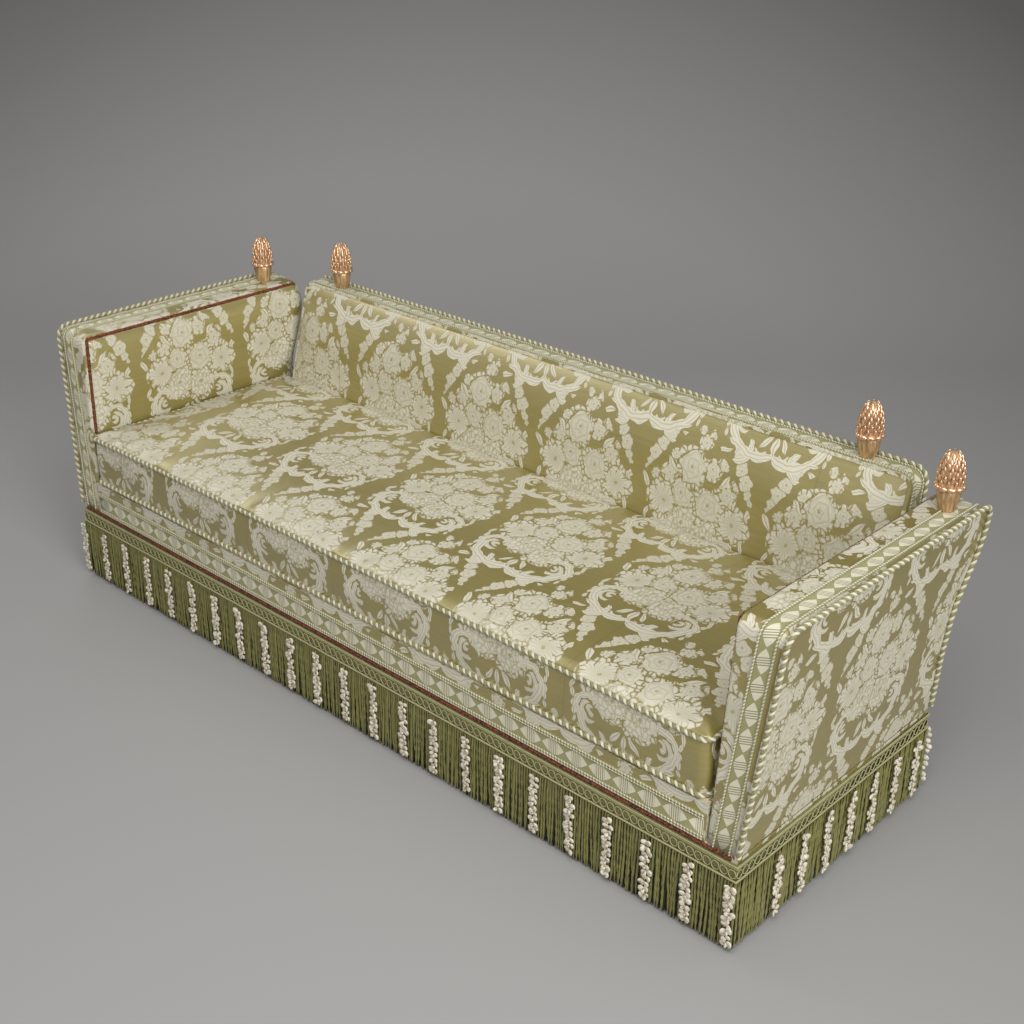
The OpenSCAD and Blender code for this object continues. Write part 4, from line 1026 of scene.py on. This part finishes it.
def front_gimp_shape():
    """Russet gimp along the lower edge of the front galloon."""
    x = np.linspace(-FRONT_GIMP_END, FRONT_GIMP_END, 60)
    return chenille(joined(x, -0.0012, FRONT_GIMP_Z), FRONT_GIMP_D, 5, (0, 0, 1))


def arm_border_shape():
    """Strip around an arm's edge, rolled over softly towards the stuffing."""
    shape = Shape()
    outline = arm_outline(0.0, BASE_TOP + GAP, BASE_TOP + GAP)
    y, z = outline.T
    out = outward(outline, 0)
    along = distances(outline)
    outer, inner = outer_x(z) - 0.0072, inner_x(z)
    section = [(outer, 0.0), (mix(outer, inner + BORDER_ROLL, 0.5), 0.0)]
    for sine, cosine in quarter(8):
        section.append((inner + BORDER_ROLL * (1 - sine), (BORDER_T - 0.0006) * (1 - cosine)))
    section += [(inner, BORDER_T), (outer, BORDER_T)]
    rows = [joined(x, y, z) - out * deep for x, deep in section]
    cloth = [joined(x - deep + REPEAT_W / 4, along + REPEAT_H / 2) for x, deep in section]
    closed_strip(shape, rows, cloth)
    return shape


def around_base(gap):
    """The base's outline, a gap outside it, from the front left corner and back to it."""
    x, y0, y1 = HALF_W + gap, -gap, BASE_D + gap
    return [(-x, y0), (x, y0), (x, y1), (-x, y1), (-x, y0)]


# Band of the heading, its ropes as height and thickness, and its rings
BAND_T = 0.003
HEADING_ROPES = (
    (HEADING_LOW + 0.0035, 0.0062),
    (HEADING_TOP - 0.0028, 0.0052),
    (HEADING_TOP - 0.0080, 0.0040),
)
RING_Z = HEADING_LOW + 0.0185
RING_PITCH = 0.0215
RING_HALF_W = 0.0095
RING_HALF_H = 0.0105


def heading_shape():
    """Looped heading of the fringe: a row of rings between two cords, on a band."""
    shape = Shape()
    inner, outer = around_base(0.0), around_base(BAND_T)
    for a, b, c, d in zip(inner, inner[1:], outer, outer[1:]):
        box(shape, (a, b, d, c), HEADING_LOW, HEADING_TOP, 0)
    for z, d in HEADING_ROPES:
        loop = around_base(BAND_T + d / 2)
        for a, b in zip(loop, loop[1:]):
            rope(shape, [(*a, z), (*b, z)], d, 1.5 * d, (0, 0, 1), (1, 1), sides=4, per_turn=6)
    a = np.arange(12)[:, None] * 2 * math.pi / 12
    loop = around_base(BAND_T + 0.0016)
    for start, end in zip(loop, loop[1:]):
        long = math.dist(start, end)
        ahead = np.array([end[0] - start[0], end[1] - start[1], 0]) / long
        count = int(round(long / RING_PITCH))
        for k in range(count):
            centre = (*start, RING_Z) + ahead * (k + 0.5) / count * long
            away = np.cos(a) * ahead * RING_HALF_W + np.sin(a) * (0, 0, RING_HALF_H)
            ring_tube(shape, centre, away, 0.0015, np.cross(ahead, (0, 0, 1)), 2)
    return shape


def ring_tube(shape, centre, away, radius, facing, look):
    """A closed ring of square wire, turned to face outwards."""
    ring = centre + away
    away = unit(away)
    points = np.array([ring + radius * c for c in (away, facing, -away, -facing)])
    cloth = np.zeros(points.shape[:2] + (2,))
    cloth[..., 0] = np.arange(points.shape[1]) * 0.004
    shape.grid(points, cloth, look, round_rows=True, round_cols=True)


# Bullion strands: how far their two layers stand out, and their form from the heading down
STRAND_PITCH = 0.0080
STRAND_STAND = (0.0052, 0.0022)
STRAND_REACH = 0.00776
STRAND_FORM = np.array([0.85, 1, 1.02, 1, 1, 1.02, 1.05, 0.55])


def strand_rows(shape, start, ahead, out, long, seed):
    """Bullion strands of one side in two layers, hanging from the heading almost to the floor; the rear
    layer is painted shade.
    """
    rng = np.random.default_rng(seed)
    count = int(round(long / STRAND_PITCH))
    a = np.arange(6) * 2 * math.pi / 5
    levels = np.linspace(0, 1, 8)
    for layer, depth in enumerate(STRAND_STAND):
        for k in range(count):
            s = (k + 0.5 + 0.5 * layer) / count * long
            if s > long - 0.002:
                continue
            lean = rng.uniform(-0.006, 0.006)
            length = HEADING_LOW - rng.uniform(0.003, 0.010)
            sway = rng.uniform(0, 6.28)
            size = rng.uniform(0.0030, 0.0037)
            aside = s + lean * levels ** 1.5 + 0.0012 * np.sin(levels * 5 + sway)
            aside = np.clip(aside, 0.003, long - 0.003)
            reach = np.minimum(STRAND_REACH, depth + 0.0012 * np.sin(levels * 3 + sway))
            spine = start + aside[:, None] * ahead + reach[:, None] * out
            spine = spine + (0, 0, 1) * (HEADING_LOW - levels * length)[:, None]
            twist = levels[:, None] * 9 + a + sway
            ring = np.cos(twist)[..., None] * ahead + np.sin(twist)[..., None] * out
            thick = size * STRAND_FORM[:, None] * (1 + 0.16 * np.sin(twist * 2.5))
            points = spine[:, None] + thick[..., None] * ring
            points[:, -1] = points[:, 0]
            cloth = joined((levels * length)[:, None], a / 6.28)
            # the rear layer takes look 1, a near-black colour that is painted shade between the front
            # strands
            shape.grid(points, cloth, layer)
            shape.add(points[-1, :5], [range(5)], cloth[-1, :5], layer)


def fringe_shape(side):
    """Strands along one side of the base, in front of a thin sheet of painted shade."""
    half = HALF_W + HEADING_T
    places = {
        "front": ((-half, 0, 0), AXIS_X, -AXIS_Y, 2 * half, 11),
        "back": ((-half, BASE_D, 0), AXIS_X, AXIS_Y, 2 * half, 12),
        "right": ((HALF_W, 0, 0), AXIS_Y, AXIS_X, BASE_D, 13),
        "left": ((-HALF_W, 0, 0), AXIS_Y, -AXIS_X, BASE_D, 14),
    }
    start, ahead, out, long, seed = places[side]
    shape = Shape()
    strand_rows(shape, start, ahead, out, long, seed)
    near, far = 0.001, long - 0.001
    ring = []
    for s, stand in ((near, 0.0005), (far, 0.0005), (far, 0.0001), (near, 0.0001)):
        ring.append((start + ahead * s + out * stand)[:2])
    # a thin near-black sheet behind the strands: painted shade, not a cloth of the sofa
    box(shape, ring, 0.012, HEADING_LOW, 1)
    return shape


BUD_D = 0.015
BUDS = 10
STRING_GAP = HEADING_T + 0.0003 + BUD_D / 2
# Petals of a bud: direction, share of the full size, and how far one stands in front
PETALS = ((0.0, 1, 0.0), (math.pi, 1, 0.0), (4.4, 0.72, 0.002))


def bud_string(shape, x, y, out, rng):
    """A thread of silk buds: three curled petals around each brown heart."""
    low = HEADING_LOW * 0.13
    step = (HEADING_LOW - 0.002 - low) / BUDS
    out = np.array(out, dtype=float)
    side = np.array([-out[1], out[0], 0])
    for k in range(BUDS):
        centre = np.array([x, y, low + (k + 0.5) * step]) + side * rng.uniform(-0.0018, 0.0018)
        spin = rng.uniform(-0.7, 0.7)
        shift = side * rng.uniform(-0.0022, 0.0022)
        for direction, share, fore in PETALS:
            turn = spin + direction + rng.uniform(-0.40, 0.40)
            reach = side * math.cos(turn) + UP * math.sin(turn) * 0.7 + out * rng.uniform(-0.10, 0.35)
            reach = unit(reach)
            across = unit(np.cross(reach, out))
            fold = np.cross(across, reach)
            size = BUD_D * rng.uniform(0.44, 0.60) * share
            fore = fore + rng.uniform(-0.0015, 0.0015)
            middle = centre + shift + reach * size * 0.92 + out * fore
            sizes = (size, size * rng.uniform(0.75, 1.0), size * 0.40)
            point = rng.uniform(-0.4, 0.2)
            lobe(shape, middle, (reach, across, fold), sizes, 0, point, rows=6, cols=7, cup=0.7)
        lobe(shape, centre + out * 0.0030, (side, UP, out), (0.0023, 0.0020, 0.0030), 1, rows=4, cols=5)
    thread = np.array([(x, y, low), (x, y, HEADING_LOW + 0.004)])
    tube(shape, thread, 0.0008, side, 4, 1)


def bud_shape():
    """Bud strings along all four sides."""
    rng = np.random.default_rng(21)
    shape = Shape()
    edge = HALF_W + HEADING_T - BUD_D / 2
    for x in np.linspace(-edge, edge, 23):
        bud_string(shape, x, -STRING_GAP, (0, -1, 0), rng)
        bud_string(shape, x, BASE_D + STRING_GAP, (0, 1, 0), rng)
    for y in BASE_D * np.linspace(0.183, 0.933, 7):
        bud_string(shape, HALF_W + STRING_GAP, y, (1, 0, 0), rng)
        bud_string(shape, -HALF_W - STRING_GAP, y, (-1, 0, 0), rng)
    return shape


# Finials; heights are shares of the whole from foot to tip
FINIAL_H = 0.142
FINIAL_R = 0.035
FINIAL_SPIN = 0.5
CUP_TOP = 0.46


def lobe(shape, centre, axes, sizes, look, point=0.0, rows=7, cols=8, cup=0.0):
    """A lump with three axes and half sizes; point draws in its far end, cup bends its middle back."""
    lat = np.linspace(-math.pi / 2, math.pi / 2, rows)
    lon = np.arange(cols + 1) * 2 * math.pi / cols
    t = np.sin(lat)[:, None]
    narrow = np.cos(lat)[:, None] * (1 - point * (t * 0.5 + 0.5))
    wide = narrow * np.cos(lon)
    over = narrow * np.sin(lon) - cup * (1 - t * t - wide ** 2)
    points = np.asarray(centre)
    for share, axis, size in zip((t + 0 * lon, wide, over), axes, sizes):
        points = points + share[..., None] * axis * size
    cloth = np.zeros(points.shape[:2] + (2,))
    cloth[..., 0] = np.hypot(*np.asarray(centre)[:2])
    cloth[..., 1] = t
    shape.grid(points, cloth, look)


def cone_radius(h):
    """Radius of the finial's cone at a height."""
    s = max(0.0, (h - CUP_TOP) / (1 - CUP_TOP))
    return FINIAL_R * 0.87 * math.sqrt(max(0.0, 1 - s ** 2.6)) * (1 - 0.10 * s)


# Outline of the cup as height and share of the radius
CUP = (
    (0.0, 0.0), (0.0, 0.52), (0.03, 0.57), (0.08, 0.60), (0.16, 0.67), (0.24, 0.73),
    (0.31, 0.77), (0.35, 0.76), (0.38, 0.70), (0.42, 0.78), (CUP_TOP, 0.80),
)
# Rows of scales as height and number
SCALES = (
    (0.495, 11), (0.568, 11), (0.640, 11), (0.708, 10),
    (0.772, 10), (0.832, 9), (0.886, 8), (0.932, 6),
)


def around_axis(count, shift):
    """Directions outward and sideways of evenly spaced places around a finial."""
    for k in range(count):
        t = FINIAL_SPIN + (k + shift) * 2 * math.pi / count
        out = np.array([math.cos(t), math.sin(t), 0])
        yield out, np.array([-out[1], out[0], 0])


def finial_shape():
    """A fluted cup, a collar of rolled leaves and a cone of overlapping scales, from the foot up."""
    shape = Shape()
    a = np.arange(61) * 2 * math.pi / 60
    profile = [*CUP]
    profile += [(h, cone_radius(h) / FINIAL_R * 0.90) for h in np.linspace(0.5, 0.99, 10)]
    profile.append((0.995, 0.0))
    rows = []
    for h, share in profile:
        flute = 1 + (0.030 * np.cos(13 * a) + 0.018 * np.cos(29 * a + 2)) * (0.01 < h < 0.34)
        r = share * FINIAL_R * flute
        rows.append(joined(r * np.cos(a), r * np.sin(a), h * FINIAL_H))
    heights = np.array([[h] for h, share in profile])
    shape.grid(np.array(rows), joined(a, heights))
    for out, side in around_axis(9, 0.0):
        leaf = out * FINIAL_R * 0.82 + UP * FINIAL_H * 0.410
        lobe(shape, leaf, (side, UP, out), (0.0112, 0.0074, 0.0070), 1)
    for j, (h, count) in enumerate(SCALES):
        r = cone_radius(h)
        slope = (cone_radius(h + 0.02) - cone_radius(h - 0.02)) / (0.04 * FINIAL_H)
        width = min(0.0062, 2 * math.pi * r / count * 0.40)
        for out, side in around_axis(count, 0.5 * (j % 2)):
            along = unit(UP + out * (slope + 0.24))
            axes = (along, side, np.cross(side, along))
            sizes = (width * 1.5, width, 0.0052)
            lobe(shape, out * r * 0.97 + UP * FINIAL_H * h, axes, sizes, 1, point=0.55)
    lobe(shape, UP * FINIAL_H * 0.962, (UP, AXIS_X, AXIS_Y), (0.0056, 0.0078, 0.0078), 1)
    return shape


# Looks
tree = damask_group()
damask = damask_material("damask", tree, cloth_place)
damask_seat = damask_material("damask_seat", tree, cloth_place, (-0.39, -0.05, 0.72))
damask_back = damask_material("damask_back", tree, cloth_place, (-0.845, 0.845))
damask_material("damask_board", tree, board_place)
cord_cream = thread_material("cord_cream", (0.72, 0.69, 0.53), (0.46, 0.42, 0.27), 2600)
cord_olive = thread_material("cord_olive", (0.30, 0.275, 0.125), (0.15, 0.135, 0.052), 2600)
bead_white = thread_material("bead_white", (0.74, 0.72, 0.58), (0.52, 0.50, 0.36), 3000)
bead_olive = thread_material("bead_olive", (0.40, 0.375, 0.19), (0.22, 0.20, 0.09), 3000)
arm_weave = galloon_material("arm_galloon_weave", 0.062, 0.0168, 0.0112, 0.35)
front_weave = galloon_material("front_galloon_weave", 0.068, 0.0215, 0.0140, 0.0)
gimp_red = plain("gimp_red", (0.275, 0.072, 0.028), 0.85, (230.0, 0.94, (1, 1, 1)), 0.0020)
fringe_thread = thread_material(
    "fringe_thread", (0.290, 0.270, 0.070), (0.088, 0.082, 0.020), 1500, roughness=0.65)
# painted shade: near-black colour for the fringe's rear strands and the sheet behind them
fringe_shade = plain("fringe_shade", (0.026, 0.026, 0.008), 0.9)
heading_band = plain("heading_band", (0.215, 0.205, 0.075), 0.8, (300.0, 0.4, (1, 1, 1)))
heading_cord = thread_material("heading_cord", (0.43, 0.41, 0.20), (0.24, 0.22, 0.085), 2400)
petal_silk = plain("petal_silk", (0.85, 0.79, 0.64), 0.50, (130.0, 0.42, (1, 1, 1)), 0.0012)
bud_heart = plain("bud_heart", (0.40, 0.27, 0.14), 0.8)
gilt = plain(
    "gilt", (0.86, 0.560, 0.360), 0.27, (220.0, 0.30, (1, 1, 1)), 0.0005,
    Metallic=0.80, Specular_IOR_Level=0.6, Coat_IOR=2.2, Coat_Roughness=0.38)
gilt_shade = plain(
    "gilt_shade", (0.74, 0.480, 0.255), 0.34, (150.0, 0.50, (1, 1, 0.15)), 0.0016, Metallic=0.6)
plain("beech", (0.52, 0.34, 0.18), 0.55, (30.0, 0.35, (0.3, 6, 6)))
plain("spring_steel", (0.30, 0.30, 0.31), 0.35, Metallic=1.0)
plain("hinge_brass", (0.55, 0.40, 0.14), 0.32, Metallic=1.0)
plain("webbing", (0.42, 0.33, 0.19), 0.85, (240.0, 0.5, (1, 1, 1)))
plain("dust_cloth", (0.055, 0.052, 0.050), 0.9, (300.0, 0.4, (1, 1, 1)))

NODE_LOOKS = {
    "damask_board": ["front_border", "base_covers", "back_border", "back_outer_panel"],
    "beech": ["front_rail", "back_rail", "side_rails", "cross_rails", "corner_blocks", "feet", "arm_ledges",
        "seat_rails", "back_stiles", "back_rails"],
    "spring_steel": ["seat_springs"],
    "webbing": ["back_webbing", "seat_deck"],
    "dust_cloth": ["dust_cover"],
    "hinge_brass": ["base_hinge_leaves", "hinge_pins"],
}
ARM_LOOKS = {
    "damask_board": ["outer_panel"],
    "beech": ["posts", "rails"],
    "webbing": ["webbing"],
    "hinge_brass": ["hinge_leaves", "stays"],
}


def dress(name, look):
    """Gives a frame node one of the looks above."""
    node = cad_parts[name]
    node.data.materials.clear()
    node.data.materials.append(bpy.data.materials[look])


def dress_nodes():
    """Nodes that are shown as they are."""
    for look, names in NODE_LOOKS.items():
        for name in names:
            dress(name, look)
    for side in SIDES:
        for look, names in ARM_LOOKS.items():
            for name in names:
                dress(f"{side}_arm_{name}", look)


def build_pieces():
    """Every finished piece with its body, the node that it replaces and its looks."""
    cushion = piece("cushion_form", cushion_shape(), "cushion", "seat_cushion", [damask_seat])
    back = piece("back_form", back_pad_shape(), "base", "back_pad", [damask_back])
    cords = [cord_cream, cord_olive]
    arm_braids = [arm_weave, bead_white, bead_olive]
    front_braids = [front_weave, bead_white, bead_olive]
    heading = [heading_band, heading_cord, heading_cord]
    piece("cushion_piping", cushion_cords_shape(), "cushion", "seat_cushion_cords", cords)
    piece("back_rope", back_cord_shape(), "base", "back_cord", cords)
    piece("back_braid", back_galloon_shape(), "base", "back_galloon", arm_braids)
    piece("front_braid", front_galloon_shape(), "base", "front_galloon", front_braids)
    piece("front_chenille", front_gimp_shape(), "base", "front_gimp", [gimp_red])
    piece("heading_loops", heading_shape(), "base", "fringe_heading", heading)
    fringe = [fringe_thread, fringe_shade]
    for side in ("front", "back", "right", "left"):
        shape = fringe_shape(side)
        piece(f"{side}_bullions", shape, "base", f"fringe_{side}", fringe, merge=0)
    piece("silk_buds", bud_shape(), "base", "bud_strings", [petal_silk, bud_heart], merge=0)
    cone = finial_shape()
    pad = arm_pad_shape()
    lip = arm_border_shape()
    cord = arm_cord_shape()
    galloon = arm_galloon_shape()
    gimp = arm_gimp_shape()
    gold = [gilt_shade, gilt]
    on_arm = (outer_x(ARM_TOP) - ARM_TOP_T / 2, BASE_D * 0.935, ARM_TOP)
    on_back = (BACK_HALF_W * 0.87, back_rear_y(BACK_TOP) - BACK_TOP_T / 2, BACK_TOP)
    for side, sign in SIDES.items():
        arm = f"{side}_arm"
        form = piece(f"{arm}_form", pad, arm, f"{arm}_pad", [damask], sign)
        piece(f"{arm}_strip", lip, arm, f"{arm}_border", [damask], sign)
        piece(f"{arm}_rope", cord, arm, f"{arm}_cord", cords, sign)
        piece(f"{arm}_braid", galloon, arm, f"{arm}_galloon", arm_braids, sign)
        piece(f"{arm}_chenille", gimp, arm, f"{arm}_gimp", [gimp_red], sign)
        piece(f"{arm}_pine_cone", cone, arm, f"{arm}_finial", gold, sign, on_arm)
        crest = f"back_{side}"
        piece(f"{crest}_pine_cone", cone, "base", f"{crest}_finial", gold, sign, on_back)


# Stage
STUDIO_TURN = math.radians(43)
FLOOR_GREY = (0.345, 0.341, 0.335)
SKY_WHITE = (0.81, 0.80, 0.785, 1.0)
FLOOR_REACH = 9.0
WALL_Y = 4.6
WALL_H = 7.0
COVE_R = 2.2


def stand(name, data, axes, place):
    """An object in the scene, its axes turned to right, up and back, at a place."""
    made = bpy.data.objects.new(name, data)
    made.matrix_world = Matrix([*zip(*axes, place), (0, 0, 0, 1)])
    bpy.context.scene.collection.objects.link(made)
    return made


def lamp(name, size, energy, place, target):
    """A soft rectangular lamp that faces its target."""
    light = bpy.data.lights.new(name, "AREA")
    light.shape = "RECTANGLE"
    light.size, light.size_y = size
    light.energy = energy
    back = unit(np.array(place) - np.array(target))
    right = unit(np.cross(UP, back))
    stand(name, light, (right, np.cross(back, right), back), place)


def studio_grey():
    """Paint of floor and wall, with painted shade towards the sides and up the wall and painted light
    further back, and see-through from behind.
    """
    grey, net, shader = material("studio_grey", 0.9, Specular_IOR_Level=0.2)
    x, y, z = net.parts(net.spot())
    aside = x * math.cos(STUDIO_TURN) + y * math.sin(STUDIO_TURN)
    away = y * math.cos(STUDIO_TURN) - x * math.sin(STUDIO_TURN)
    # painted light and shade: the grey is darker to the sides and up the wall, and lighter further back
    # along the floor
    level = 0.98 - (aside + 1.0) * aside * 0.034 + net.most(away, 0.0) * 0.052 - z * 0.40
    dye(net, shader, (0, 0, 0), FLOOR_GREY, net.most(level, 0.4))
    behind = net.node("ShaderNodeNewGeometry").outputs["Backfacing"]
    clear = net.node("ShaderNodeBsdfTransparent").outputs[0]
    sided = net.node("ShaderNodeMixShader", behind, shader.outputs[0], clear)
    output = next(node for node in grey.node_tree.nodes if node.type == "OUTPUT_MATERIAL")
    net.put(output.inputs["Surface"], sided.outputs[0])
    return grey


def stage():
    """A floor that curves up into a wall, three soft lamps and a pale surrounding."""
    foot = WALL_Y - COVE_R
    profile = [(-FLOOR_REACH, 0.0), (foot, 0.0)]
    profile += [(foot + COVE_R * sine, COVE_R - COVE_R * cosine) for sine, cosine in quarter(12)[1:]]
    profile.append((WALL_Y, WALL_H))
    points = []
    for aside in (-FLOOR_REACH, FLOOR_REACH):
        for away, z in profile:
            x = aside * math.cos(STUDIO_TURN) - away * math.sin(STUDIO_TURN)
            y = aside * math.sin(STUDIO_TURN) + away * math.cos(STUDIO_TURN)
            points.append((x, y, z - GAP))
    m = len(profile)
    mesh = bpy.data.meshes.new("studio_floor")
    mesh.from_pydata(points, [], [(k, m + k, m + k + 1, k + 1) for k in range(m - 1)])
    mesh.polygons.foreach_set("use_smooth", [True] * (m - 1))
    mesh.materials.append(studio_grey())
    stand("studio_floor", mesh, np.eye(3), (0, 0, 0))
    target = (0, 0, 0.45)
    lamp("key", (2.8, 1.1), 23, (-2.5, -0.2, 2.9), target)
    lamp("top", (2.6, 2.0), 86, (1.9, -2.2, 3.7), target)
    lamp("fill", (3.0, 2.4), 203, (5.8, -1.8, 3.0), target)
    world = bpy.data.worlds.new("studio")
    world.use_nodes = True
    sky = world.node_tree.nodes["Background"]
    sky.inputs["Color"].default_value = SKY_WHITE
    sky.inputs["Strength"].default_value = 0.55
    bpy.context.scene.world = world
    bpy.context.scene.view_settings.view_transform = "Standard"


def camera():
    """The photograph's view, as it was solved from the sofa's straight edges."""
    place = (2.4886, -2.4726, 2.1767)
    yaw, pitch, roll = -0.7521, 0.4528, 0.0083
    level = math.cos(pitch)
    ahead = np.array([math.sin(yaw) * level, math.cos(yaw) * level, -math.sin(pitch)])
    right = np.array([math.cos(yaw), -math.sin(yaw), 0.0])
    up = np.cross(right, ahead)
    side = right * math.cos(roll) + up * math.sin(roll)
    over = -right * math.sin(roll) + up * math.cos(roll)
    lens = bpy.data.cameras.new("camera")
    lens.sensor_width = 36.0
    lens.lens = 52.07
    bpy.context.scene.camera = stand("camera", lens, (side, over, -ahead), place)


dress_nodes()
build_pieces()
stage()
camera()
